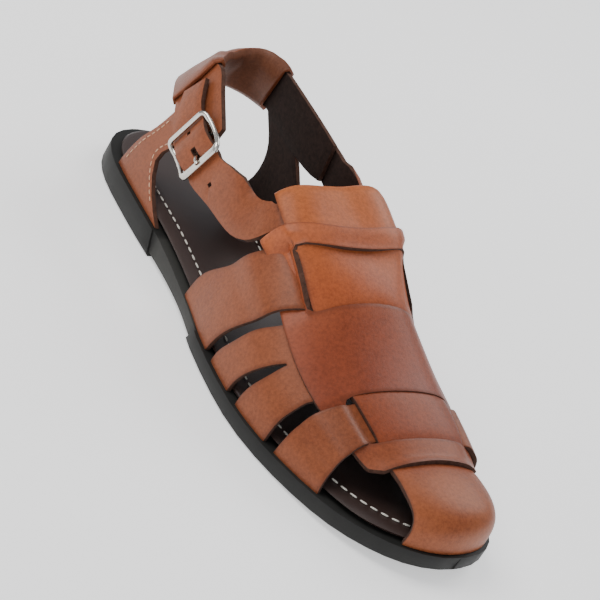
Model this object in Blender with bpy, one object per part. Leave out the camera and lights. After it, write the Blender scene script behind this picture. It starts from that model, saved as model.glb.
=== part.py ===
"""Right fisherman sandal: rubber sole, leather footbed, woven straps, heel strap and buckle.

Metres, +Z up. The toe points to -Y and the inner (medial) side is +X. The origin is on the
floor under the middle of the sandal's box.
"""
import math

import bmesh
import bpy
import numpy as np

MM = 0.001

# Driving sizes of the sole
SOLE_LENGTH = 290 * MM
HALF_BALL = 52 * MM
HEEL_RUBBER = 11.8 * MM
FORE_RUBBER = 7.6 * MM
TOE_SPRING = 6.0 * MM
WAIST_RISE = 2.0 * MM
WAIST_INSET = 1.0 * MM
SOLE_CHAMFER = 0.9 * MM
FOOTBED = 4.0 * MM
FOOTBED_ROUND = 1.8 * MM
FOOTBED_BULGE = 2.0 * MM

# Driving sizes of the upper
LEATHER = 2.3 * MM
FIT = 0.3 * MM
FUSE = 0.3 * MM
STRAP_SETBACK = 4.2 * MM
INSTEP_HEIGHT = 76 * MM
MEDIAL_RISE = 6.5 * MM
MEDIAL_SPREAD = 6 * MM
ANKLE_HEIGHT = 88 * MM
SLEEVE_WALL = 1.5 * MM
SLEEVE_LATERAL = 51 * MM
SLEEVE_MEDIAL = 57 * MM
SLEEVE_SLANT = 9 * MM
STRAP_WIDTH = 19.6 * MM

# Driving sizes of the buckle
BUCKLE_LENGTH = 21.5 * MM
BUCKLE_WIRE = 1.3 * MM
BUCKLE_BOW = 2.4 * MM
PIN_WIRE = 1.1 * MM
PRONG_WIRE = 0.8 * MM
BUCKLE_WIDTH = STRAP_WIDTH + 2 * (BUCKLE_WIRE + 3 * FIT)
BUCKLE_CORNER = 2.4 * MM
HOLE_PITCH = 15 * MM
HOLE_SIZE = 1.1 * MM

# Outline of the sole: share of the length from the heel, then shares of half the ball width
OUTLINE = (
    # along, lateral, medial
    (0.000, 0.000, 0.000),
    (0.014, 0.310, 0.330),
    (0.048, 0.500, 0.540),
    (0.103, 0.620, 0.630),
    (0.172, 0.670, 0.655),
    (0.241, 0.700, 0.630),
    (0.310, 0.715, 0.590),
    (0.379, 0.745, 0.575),
    (0.448, 0.810, 0.600),
    (0.517, 0.910, 0.670),
    (0.586, 0.975, 0.785),
    (0.655, 1.010, 0.905),
    (0.707, 1.000, 0.965),
    (0.759, 0.950, 1.005),
    (0.828, 0.845, 1.000),
    (0.897, 0.690, 0.915),
    (0.948, 0.485, 0.770),
    (0.983, 0.240, 0.560),
    (1.000, -0.130, 0.130),
)

# Steps of the sole, as shares of its length
HEEL_BREAST = 0.295
FORE_STEP = 0.498
STEP_SLANT = 0.018
SPRING_START = 0.74
HEEL_FLAT_END = 0.24
FORE_FLAT_START = 0.45

# Height of the last over the sole: share of the length, share of the instep height
LAST_RIDGE = (
    # along, height
    (0.345, 1.000),
    (0.448, 0.890),
    (0.517, 0.820),
    (0.586, 0.750),
    (0.655, 0.605),
    (0.724, 0.465),
    (0.793, 0.368),
    (0.862, 0.268),
)
RIDGE_SHIFT = 0.06
MEDIAL_RISE_END = (0.46, 0.64)
SIDE_POWER = 0.87
TOP_POWER = 0.88
TOE_START = 0.862
TOE_RUN = 0.155
TOE_END_LATERAL = 0.962
TOE_END_MEDIAL = 0.969
TOE_POWER = 0.75
FAN_POWER = 1.3

# Edges of the straps on the last: share of the sole's length, share of the girth from lateral
INSTEP_BACK = (
    (0.424, 0.00), (0.434, 0.05), (0.452, 0.085), (0.476, 0.122), (0.503, 0.175), (0.538, 0.25),
    (0.552, 0.32),
)
FIRST_FRONT = (
    (0.552, -0.03), (0.552, 0.02), (0.566, 0.06), (0.580, 0.10), (0.597, 0.155), (0.612, 0.218),
)
SECOND_BACK = (
    (0.576, -0.03), (0.577, 0.02), (0.589, 0.06), (0.599, 0.10), (0.612, 0.155), (0.629, 0.218),
)
SLIT_BACK = (
    (0.641, -0.03), (0.643, 0.02), (0.652, 0.07), (0.666, 0.13), (0.675, 0.17), (0.680, 0.197),
)
SLIT_FRONT = (
    (0.669, -0.03), (0.669, 0.02), (0.673, 0.07), (0.680, 0.13), (0.682, 0.17), (0.683, 0.197),
)
SECOND_FRONT = (
    (0.745, -0.03), (0.745, 0.04), (0.744, 0.10), (0.745, 0.16), (0.745, 0.20), (0.753, 0.236),
)
THIRD_BACK = (
    (0.766, -0.03), (0.768, 0.04), (0.767, 0.10), (0.766, 0.16), (0.766, 0.20), (0.766, 0.236),
)
TOE_GAP = (
    # along at the sole, along at the tongue, girth at the tongue
    (0.855, 0.838, 0.243),
    (0.872, 0.862, 0.256),
    (0.884, 0.871, 0.285),
    (0.894, 0.877, 0.320),
    (0.906, 0.888, 0.322),
    (0.920, 0.905, 0.305),
    (0.938, 0.926, 0.287),
    (0.956, 0.945, 0.262),
    (0.972, 0.964, 0.220),
    (0.985, 0.982, 0.168),
    (0.995, 0.998, 0.090),
    (1.001, 1.006, 0.030),
)
TONGUE_EDGE = (
    (0.552, 0.300), (0.634, 0.310), (0.700, 0.322), (0.766, 0.334), (0.830, 0.336), (0.872, 0.330),
)
RAIL_EDGE = 0.220

# Centre strap's fold round the instep strap: share of the length, layers of leather off the last
FOLD_OUTER = (
    (0.572, 0.12), (0.545, 0.08), (0.510, 0.06), (0.475, 0.06), (0.452, 0.14), (0.4425, 0.75),
    (0.4405, 1.7), (0.4425, 2.65), (0.451, 3.25), (0.475, 3.40), (0.510, 3.38), (0.530, 3.36),
    (0.545, 3.02), (0.5525, 2.74), (0.562, 2.36), (0.572, 1.95), (0.577, 1.2),
)
FOLD_INNER = (
    (0.534, 1.22), (0.522, 1.06), (0.505, 1.03), (0.475, 1.03), (0.458, 1.10), (0.4515, 1.35),
    (0.4500, 1.7), (0.4515, 2.05), (0.458, 2.30), (0.475, 2.40), (0.490, 2.40), (0.505, 2.40),
    (0.515, 2.40), (0.522, 2.38), (0.528, 2.34), (0.533, 2.20), (0.536, 1.7),
)
FOLD_GIRTH = (0.300, 0.700)
FOLD_LOOPS = 10

# Quarters: share of the sole's length from the heel along the feather line, share of the ankle height
LATERAL_TOP = (
    (0.000, 0.875), (0.085, 0.910), (0.150, 0.938), (0.217, 0.955), (0.240, 0.926), (0.290, 0.835),
    (0.317, 0.784),
)
LATERAL_LOW = (
    (0.000, 0.636), (0.085, 0.653), (0.150, 0.648), (0.190, 0.600), (0.240, 0.545), (0.290, 0.523),
    (0.317, 0.523),
)
MEDIAL_TOP = (
    (0.000, 0.875), (0.085, 0.915), (0.150, 0.945), (0.224, 0.968), (0.334, 0.955), (0.390, 0.925),
)
MEDIAL_LOW = (
    (0.000, 0.636), (0.085, 0.660), (0.150, 0.680), (0.190, 0.695), (0.260, 0.685), (0.334, 0.675),
    (0.381, 0.690), (0.390, 0.700),
)
LATERAL_LEG = (
    # height, back edge, front edge
    (0.145, 0.110, 0.278),
    (0.216, 0.110, 0.235),
    (0.360, 0.121, 0.189),
    (0.466, 0.135, 0.199),
    (0.590, 0.147, 0.225),
    (0.700, 0.155, 0.240),
)
MEDIAL_LEG = (
    # height, back edge, front edge
    (0.145, 0.150, 0.352),
    (0.270, 0.176, 0.335),
    (0.380, 0.191, 0.322),
    (0.490, 0.1955, 0.308),
    (0.560, 0.190, 0.303),
    (0.625, 0.175, 0.285),
    (0.720, 0.146, 0.262),
)
LEAN = (
    # height, share of the way from the feather line to the rim
    (0.00, 0.00),
    (0.14, 0.00),
    (0.35, 0.13),
    (0.60, 0.44),
    (0.80, 0.78),
    (0.955, 1.00),
    (1.05, 1.13),
)
RIM = (
    # along the feather line (lateral side negative), sideways, distance from the heel
    (-0.480, -0.600, 0.438),
    (-0.400, -0.540, 0.358),
    (-0.345, -0.480, 0.303),
    (-0.290, -0.432, 0.248),
    (-0.221, -0.385, 0.186),
    (-0.172, -0.356, 0.163),
    (-0.131, -0.280, 0.150),
    (-0.086, -0.173, 0.1345),
    (-0.041, -0.050, 0.117),
    (0.000, 0.050, 0.1085),
    (0.041, 0.163, 0.099),
    (0.086, 0.240, 0.100),
    (0.131, 0.337, 0.1085),
    (0.172, 0.388, 0.1345),
    (0.224, 0.362, 0.176),
    (0.338, 0.327, 0.290),
    (0.396, 0.352, 0.348),
    (0.450, 0.370, 0.400),
)


def spline(points, count=None, at=None):
    """Natural cubic curve through points of any dimension, at count even places or at given row numbers."""
    pts = np.asarray(points, float)
    knots = np.r_[0, np.cumsum(np.sqrt(np.sum(np.diff(pts, axis=0) ** 2, axis=1)) ** 0.5)]
    gaps = np.diff(knots)
    last_index = len(pts) - 1
    system = np.eye(len(pts))
    right = np.zeros_like(pts)
    for i in range(1, last_index):
        system[i, i - 1:i + 2] = gaps[i - 1], 2 * (gaps[i - 1] + gaps[i]), gaps[i]
        right[i] = 6 * ((pts[i + 1] - pts[i]) / gaps[i] - (pts[i] - pts[i - 1]) / gaps[i - 1])
    bend = np.linalg.solve(system, right)
    where = np.linspace(0, knots[-1], count) if at is None else np.interp(at, np.arange(len(pts)), knots)
    k = np.clip(np.searchsorted(knots, where, "right") - 1, 0, last_index - 1)
    a = (where - knots[k])[:, None]
    b = (knots[k + 1] - where)[:, None]
    h = gaps[k][:, None]
    cubic = bend[k] * b ** 3 / (6 * h) + bend[k + 1] * a ** 3 / (6 * h)
    return cubic + (pts[k] / h - bend[k] * h / 6) * b + (pts[k + 1] / h - bend[k + 1] * h / 6) * a


def ease(low, high, x):
    t = np.clip((x - low) / (high - low), 0, 1)
    return t * t * (3 - 2 * t)


def outline_ring():
    """The sole's outline as a closed ring of (x, distance from the heel), lateral side first."""
    lateral = [(-row[1] * HALF_BALL, row[0] * SOLE_LENGTH) for row in OUTLINE]
    medial = [(row[2] * HALF_BALL, row[0] * SOLE_LENGTH) for row in OUTLINE]
    loop = lateral + medial[::-1][1:-1]
    wrap = 4
    padded = np.array(loop[-wrap:] + loop + loop[:wrap + 1])
    count = 1600
    curve = spline(padded * 1000, count) / 1000
    knots = np.r_[0, np.cumsum(np.sqrt(np.sum(np.diff(padded, axis=0) ** 2, axis=1)) ** 0.5)]
    where = np.linspace(0, knots[-1], count)
    return curve[(where >= knots[wrap]) & (where < knots[wrap + len(loop)])]


def inset(ring, distance):
    """Moves a ring inwards; distance is one value or one for each point."""
    along = np.roll(ring, -1, 0) - np.roll(ring, 1, 0)
    along /= np.hypot(along[:, 0], along[:, 1])[:, None]
    outward = np.stack([-along[:, 1], along[:, 0]], -1)
    return ring - outward * np.reshape(distance, (-1, 1))


def halves(ring):
    """Splits a ring at the toe into its lateral and medial sides, each from heel to toe."""
    toe = ring[:, 1].argmax()
    lateral = ring[:toe + 1]
    medial = np.concatenate([ring[toe:], ring[:1]])[::-1]
    return lateral, medial


EDGE = outline_ring()
FEATHER = inset(EDGE, STRAP_SETBACK)
FEATHER_SIDES = halves(FEATHER)


def side_x(side, s):
    return np.interp(s, side[:, 1], side[:, 0])


def spring(s):
    start = SPRING_START * SOLE_LENGTH
    return TOE_SPRING * np.clip((s - start) / (SOLE_LENGTH - start), 0, 1) ** 2


def rubber_top(s):
    heel_end = HEEL_FLAT_END * SOLE_LENGTH
    fore_start = FORE_FLAT_START * SOLE_LENGTH
    return HEEL_RUBBER + (FORE_RUBBER - HEEL_RUBBER) * ease(heel_end, fore_start, s) + spring(s)


def world(x, s, z):
    """From distance behind the heel's edge to the part's frame, where the toe is at -Y."""
    return np.stack(np.broadcast_arrays(x, SOLE_LENGTH / 2 - s, z), -1)


RIM_CURVE = spline([(a * SOLE_LENGTH, x * HALF_BALL, s * SOLE_LENGTH) for a, x, s in RIM], 300)
RIDGE = spline([(a * SOLE_LENGTH, h * INSTEP_HEIGHT) for a, h in LAST_RIDGE], 400)
FEATHER_LINE = np.concatenate([FEATHER_SIDES[0], FEATHER_SIDES[1][::-1][1:]])
FEATHER_RUN = np.r_[0, np.cumsum(np.hypot(*np.diff(FEATHER_LINE, axis=0).T))]


def feather_run(side, s):
    """Run of the feather line, heel to heel round the toe, at distance s on one side."""
    points = FEATHER_SIDES[side]
    index = np.interp(s, points[:, 1], np.arange(len(points)))
    if side == 1:
        index = len(FEATHER_LINE) - 1 - index
    return np.interp(index, np.arange(len(FEATHER_LINE)), FEATHER_RUN)


def last_surface(v, u):
    """The last: v is distance from the heel, u the girth from lateral (0) to medial (1) feather line.

    Sections are upright arches as far as the toe, where they fan out to follow the outline.
    """
    v, u = np.broadcast_arrays(np.asarray(v, float), np.asarray(u, float))
    start = TOE_START * SOLE_LENGTH
    turn = np.clip((v - start) / (TOE_RUN * SOLE_LENGTH), 0, 1) * math.pi / 2
    reach = np.sin(turn)
    s_lat = np.where(v < start, v, start + (TOE_END_LATERAL * SOLE_LENGTH - start) * reach)
    s_med = np.where(v < start, v, start + (TOE_END_MEDIAL * SOLE_LENGTH - start) * reach)
    ridge = np.interp(v, RIDGE[:, 0], RIDGE[:, 1])
    height = np.where(v < start, ridge, RIDGE[-1, 1] * np.cos(turn) ** TOE_POWER)
    inside = np.clip(u, 0, 1)
    across = np.cos(math.pi * inside)
    share = 0.5 * (1 - np.sign(across) * np.abs(across) ** SIDE_POWER)
    share = share + RIDGE_SHIFT * np.sin(math.pi * share)
    x_lat, x_med = side_x(FEATHER_SIDES[0], s_lat), side_x(FEATHER_SIDES[1], s_med)
    chord_x = x_lat + (x_med - x_lat) * share
    chord_s = s_lat + (s_med - s_lat) * share
    run_lat, run_med = feather_run(0, s_lat), feather_run(1, s_med)
    run = run_lat + (run_med - run_lat) * share
    round_x = np.interp(run, FEATHER_RUN, FEATHER_LINE[:, 0])
    round_s = np.interp(run, FEATHER_RUN, FEATHER_LINE[:, 1])
    # the instep is highest towards the inner side
    medial = 1 - ease(MEDIAL_RISE_END[0] * SOLE_LENGTH, MEDIAL_RISE_END[1] * SOLE_LENGTH, v)
    medial = medial * ease(0.48, 0.72, inside) * (1 - ease(0.78, 1.0, inside))
    chord_x = chord_x + MEDIAL_SPREAD * medial
    fan = reach ** FAN_POWER
    x = chord_x * (1 - fan) + round_x * fan
    s = chord_s * (1 - fan) + round_s * fan
    z = rubber_top(s) + FIT + height * np.abs(np.sin(math.pi * inside)) ** TOP_POWER + MEDIAL_RISE * medial
    z = z + np.minimum(u, 0) * 0.1 + np.minimum(1 - u, 0) * 0.1
    return world(x, s, z)


def on_last(v, u, off):
    """A point off the last along its normal."""
    v, u, off = np.broadcast_arrays(np.asarray(v, float), np.asarray(u, float), np.asarray(off, float))
    point = last_surface(v, u)
    step_v, step_u = 0.1 * MM, 0.001
    inner_u = np.clip(u, 0.004, 0.996)
    inner_v = np.clip(v, 0, (TOE_START + TOE_RUN) * SOLE_LENGTH - 4 * step_v)
    along = last_surface(inner_v + step_v, inner_u) - last_surface(inner_v - step_v, inner_u)
    around = last_surface(inner_v, inner_u + step_u) - last_surface(inner_v, inner_u - step_u)
    normal = np.cross(along, around)
    normal /= np.linalg.norm(normal, axis=-1, keepdims=True)
    point = point + normal * off[..., None]
    seat = rubber_top(SOLE_LENGTH / 2 - point[..., 1]) + FIT
    on_wall = (u >= 0) & (u <= 1)
    point[..., 2] = np.where(on_wall, np.maximum(point[..., 2], seat), point[..., 2])
    return point


def side_run(side):
    """Way along one side's feather line from the heel, for each of its points."""
    return np.r_[0, np.cumsum(np.hypot(*np.diff(FEATHER_SIDES[side], axis=0).T))]


def beside_heel(side, s):
    """Way along the feather line to a distance from the heel."""
    return np.interp(s, FEATHER_SIDES[side][:, 1], side_run(side))


def on_ankle(side, run, z, off):
    """A point off the ankle, between the feather line and the rim; side 0 is lateral, 1 medial."""
    run, z, off = np.broadcast_arrays(np.asarray(run, float), np.asarray(z, float), np.asarray(off, float))
    share = np.interp(z, [row[0] * ANKLE_HEIGHT for row in LEAN], [row[1] for row in LEAN])

    def place(where):
        low = []
        for axis in (0, 1):
            sides = [np.interp(np.abs(where), side_run(k), FEATHER_SIDES[k][:, axis]) for k in (0, 1)]
            low.append(np.where(where < 0, sides[0], sides[1]))
        high = [np.interp(where, RIM_CURVE[:, 0], RIM_CURVE[:, axis]) for axis in (1, 2)]
        return low[0] + (high[0] - low[0]) * share, low[1] + (high[1] - low[1]) * share

    signed = -run if side == 0 else run
    step = 2 * MM
    x, s = place(signed)
    ahead, behind = place(signed + step), place(signed - step)
    dx, ds = ahead[0] - behind[0], ahead[1] - behind[1]
    size = np.hypot(dx, ds)
    return world(x + ds / size * off, s - dx / size * off, z)


def material(name, color, roughness, metallic=0.0):
    mat = bpy.data.materials.new(name)
    mat.use_nodes = True
    shader = mat.node_tree.nodes["Principled BSDF"]
    shader.inputs["Base Color"].default_value = (*color, 1)
    shader.inputs["Roughness"].default_value = roughness
    shader.inputs["Metallic"].default_value = metallic
    return mat


def add_object(name, verts, faces, group, mat=None):
    mesh = bpy.data.meshes.new(name)
    mesh.from_pydata([tuple(v) for v in verts], [], faces)
    bm = bmesh.new()
    bm.from_mesh(mesh)
    bmesh.ops.remove_doubles(bm, verts=bm.verts, dist=1e-7)
    bmesh.ops.dissolve_degenerate(bm, dist=1e-7, edges=bm.edges)
    bmesh.ops.recalc_face_normals(bm, faces=bm.faces)
    bm.to_mesh(mesh)
    bm.free()
    obj = bpy.data.objects.new(name, mesh)
    group.objects.link(obj)
    if mat:
        mesh.materials.append(mat)
        mesh.shade_smooth()
        mesh.set_sharp_from_angle(angle=math.radians(35))
    else:
        obj.hide_render = True
        obj.display_type = "WIRE"
    return obj


def slab(name, outer, inner, group, mat=None):
    """Closed sheet between two grids of points with the same rows and columns."""
    rows, cols = outer.shape[:2]
    verts = np.concatenate([outer.reshape(-1, 3), inner.reshape(-1, 3)])
    half = rows * cols
    faces = []
    for i in range(rows - 1):
        for j in range(cols - 1):
            a = i * cols + j
            quad = (a, a + 1, a + cols + 1, a + cols)
            faces.append(quad)
            faces.append(tuple(half + k for k in reversed(quad)))
    rim = [j for j in range(cols)] + [i * cols + cols - 1 for i in range(1, rows)]
    rim += [(rows - 1) * cols + j for j in range(cols - 2, -1, -1)]
    rim += [i * cols for i in range(rows - 2, 0, -1)]
    for a, b in zip(rim, rim[1:] + rim[:1]):
        faces.append((a, half + a, half + b, b))
    return add_object(name, verts, faces, group, mat)


def tube_loop(name, outer, inner, group, mat=None):
    """Sleeve between two stacks of closed loops, open at both ends."""
    rows, cols = outer.shape[:2]
    verts = np.concatenate([outer.reshape(-1, 3), inner.reshape(-1, 3)])
    half = rows * cols
    faces = []
    for j in range(cols):
        nxt = (j + 1) % cols
        for i in range(rows - 1):
            quad = (i * cols + j, i * cols + nxt, (i + 1) * cols + nxt, (i + 1) * cols + j)
            faces.append(quad)
            faces.append(tuple(half + k for k in reversed(quad)))
        faces.append((j, half + j, half + nxt, nxt))
        end = (rows - 1) * cols
        faces.append((end + j, end + nxt, half + end + nxt, half + end + j))
    return add_object(name, verts, faces, group, mat)


def strip(name, first, second, low, high, samples, columns, group, mirrored=False):
    """Solid on the last between two edges of (along, girth); low and high are offsets or functions."""
    both = spline(np.hstack([first, second]), samples)
    a, b = both[:, :2], both[:, 2:]
    t = np.linspace(0, 1, columns)[None, :, None]
    grid = a[:, None, :] * (1 - t) + b[:, None, :] * t
    v = grid[..., 0] * SOLE_LENGTH
    u = 1 - grid[..., 1] if mirrored else grid[..., 1]
    lo = low(v, u) if callable(low) else low
    hi = high(v, u) if callable(high) else high
    return slab(name, on_last(v, u, hi), on_last(v, u, lo), group)


def boolean(obj, other, operation):
    mod = obj.modifiers.new(other.name, "BOOLEAN")
    mod.operation = operation
    mod.solver = "EXACT"
    mod.object = other


def settle(obj):
    """Makes the cuts and joints part of the mesh, without the crumbs that they leave along their seams."""
    bpy.context.view_layer.update()
    mesh = bpy.data.meshes.new_from_object(obj.evaluated_get(bpy.context.evaluated_depsgraph_get()))
    bm = bmesh.new()
    bm.from_mesh(mesh)
    bmesh.ops.remove_doubles(bm, verts=bm.verts, dist=1e-6)
    bmesh.ops.triangulate(bm, faces=bm.faces)
    islands, seen = [], set()
    for start in bm.faces:
        if start in seen:
            continue
        seen.add(start)
        island, queue = [], [start]
        while queue:
            face = queue.pop()
            island.append(face)
            for edge in face.edges:
                for other in edge.link_faces if len(edge.link_faces) == 2 else ():
                    if other not in seen:
                        seen.add(other)
                        queue.append(other)
        islands.append(island)
    islands.sort(key=len)
    crumbs = [face for island in islands[:-1] for face in island]
    bmesh.ops.delete(bm, geom=crumbs, context="FACES")
    bm.to_mesh(mesh)
    bm.free()
    obj.modifiers.clear()
    obj.data = mesh


def plate(name, ring, bottom, top, edge_inset, edge_drop, group, mat, stations, across):
    """Solid that fills a ring, with its lower and upper edges drawn in; heights are functions of s.

    edge_inset and edge_drop give the bottom and the top edge's setback and height.
    """
    rows = []
    for grow_bottom, grow_top in ((1, 0), (0, 0), (0, 1)):
        setback = edge_inset[0] * grow_bottom + edge_inset[1] * grow_top
        rows.append(halves(inset(ring, setback) if setback else ring))
    wide = halves(ring)
    s0, s1 = wide[0][0, 1], wide[0][-1, 1]
    sections = []
    share = (1 - np.cos(np.linspace(0, math.pi, across))) / 2
    for s in stations:
        def ends(sides, s=s):
            lo = max(sides[0][0, 1], sides[1][0, 1]) + 0.15 * MM
            hi = min(sides[0][-1, 1], sides[1][-1, 1]) - 0.15 * MM
            at = min(max(s0 + (s1 - s0) * s, lo), hi)
            return side_x(sides[0], at), side_x(sides[1], at), at
        loop = []
        xl, xm, at = ends(rows[0])
        loop += [(xl + (xm - xl) * k, at, bottom(at)) for k in share]
        xl2, xm2, at2 = ends(rows[1])
        loop.append((xm2, at2, bottom(at2) + edge_drop[0]))
        loop.append((xm2, at2, top(at2) - edge_drop[1]))
        xl3, xm3, at3 = ends(rows[2])
        loop += [(xm3 + (xl3 - xm3) * k, at3, top(at3)) for k in share]
        loop.append((xl2, at2, top(at2) - edge_drop[1]))
        loop.append((xl2, at2, bottom(at2) + edge_drop[0]))
        sections.append(loop)
    arr = np.array(sections)
    pts = world(arr[..., 0], arr[..., 1], arr[..., 2])
    count, cols = pts.shape[:2]
    faces = []
    for i in range(count - 1):
        for j in range(cols):
            nxt = (j + 1) % cols
            faces.append((i * cols + j, i * cols + nxt, (i + 1) * cols + nxt, (i + 1) * cols + j))
    for base in (0, (count - 1) * cols):
        for k in range(across - 1):
            faces.append((base + k, base + k + 1, base + 2 * across - k, base + 2 * across + 1 - k))
        faces.append((base + across - 1, base + across, base + across + 1, base + across + 2))
        faces.append((base, base + 2 * across + 1, base + 2 * across + 2, base + 2 * across + 3))
    return add_object(name, pts.reshape(-1, 3), faces, group, mat)


def make_outsole(parts, tools, mat):
    shares = np.unique(np.round(0.5 * (1 - np.cos(np.linspace(0, math.pi, 34))), 5))
    obj = plate("outsole", EDGE, spring, rubber_top, (SOLE_CHAMFER, 0), (SOLE_CHAMFER, 0.2 * MM),
                parts, mat, shares, 5)
    # The waist is cut back between the slanted steps of heel and forefoot
    low, high = -2 * MM, WAIST_RISE
    back, front = HEEL_BREAST * SOLE_LENGTH, FORE_STEP * SOLE_LENGTH
    slant = STEP_SLANT * SOLE_LENGTH
    wide = 2 * HALF_BALL
    outer, inner = [], []
    for z, face in ((high, outer), (low, inner)):
        for s in (back + slant * (high - z) / HEEL_RUBBER, front - slant * (high - z) / HEEL_RUBBER):
            face.append([(x, s, z) for x in (-wide, wide)])
    grids = [world(*np.moveaxis(np.array(face), -1, 0)) for face in (outer, inner)]
    boolean(obj, slab("cut_arch", grids[0], grids[1], tools), "DIFFERENCE")
    for side, sign in ((0, -1), (1, 1)):
        rows_in, rows_out = [], []
        for k in np.linspace(0, 1, 9):
            pair_in, pair_out = [], []
            for z in (low, HEEL_RUBBER + 6 * MM):
                lift = slant * (z - high) / HEEL_RUBBER
                s = (back - lift) * (1 - k) + (front + lift) * k
                x = side_x(halves(EDGE)[side], s)
                pair_in.append((x - sign * WAIST_INSET, s, z))
                pair_out.append((x + sign * 6 * MM, s, z))
            rows_in.append(pair_in)
            rows_out.append(pair_out)
        grids = [world(*np.moveaxis(np.array(rows), -1, 0)) for rows in (rows_out, rows_in)]
        boolean(obj, slab("cut_waist_%d" % side, grids[0], grids[1], tools), "DIFFERENCE")
    settle(obj)
    return obj


def make_insole(parts, mat):
    """Leather footbed, a little wider in the open gaps beside the toe."""
    s = FEATHER[:, 1] / SOLE_LENGTH
    bulge = ease(0.875, 0.895, s) * (1 - ease(0.930, 0.950, s))
    ring = inset(FEATHER, 1.5 * FIT - bulge * FOOTBED_BULGE)
    shares = np.unique(np.round(0.5 * (1 - np.cos(np.linspace(0, math.pi, 30))), 5))
    bottom = lambda at: rubber_top(at) + FIT
    top = lambda at: rubber_top(at) + FIT + FOOTBED
    return plate("insole", ring, bottom, top, (0, FOOTBED_ROUND), (0.5 * MM, FOOTBED_ROUND),
                 parts, mat, shares, 5)


def raised(u, dips):
    """One layer over the wall, falling back towards the given girths."""
    high = np.full_like(u, 2.0)
    for centre, reach, drop in dips:
        high -= drop * (1 - ease(0, reach, np.abs(u - centre)))
    return high * LEATHER


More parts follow.
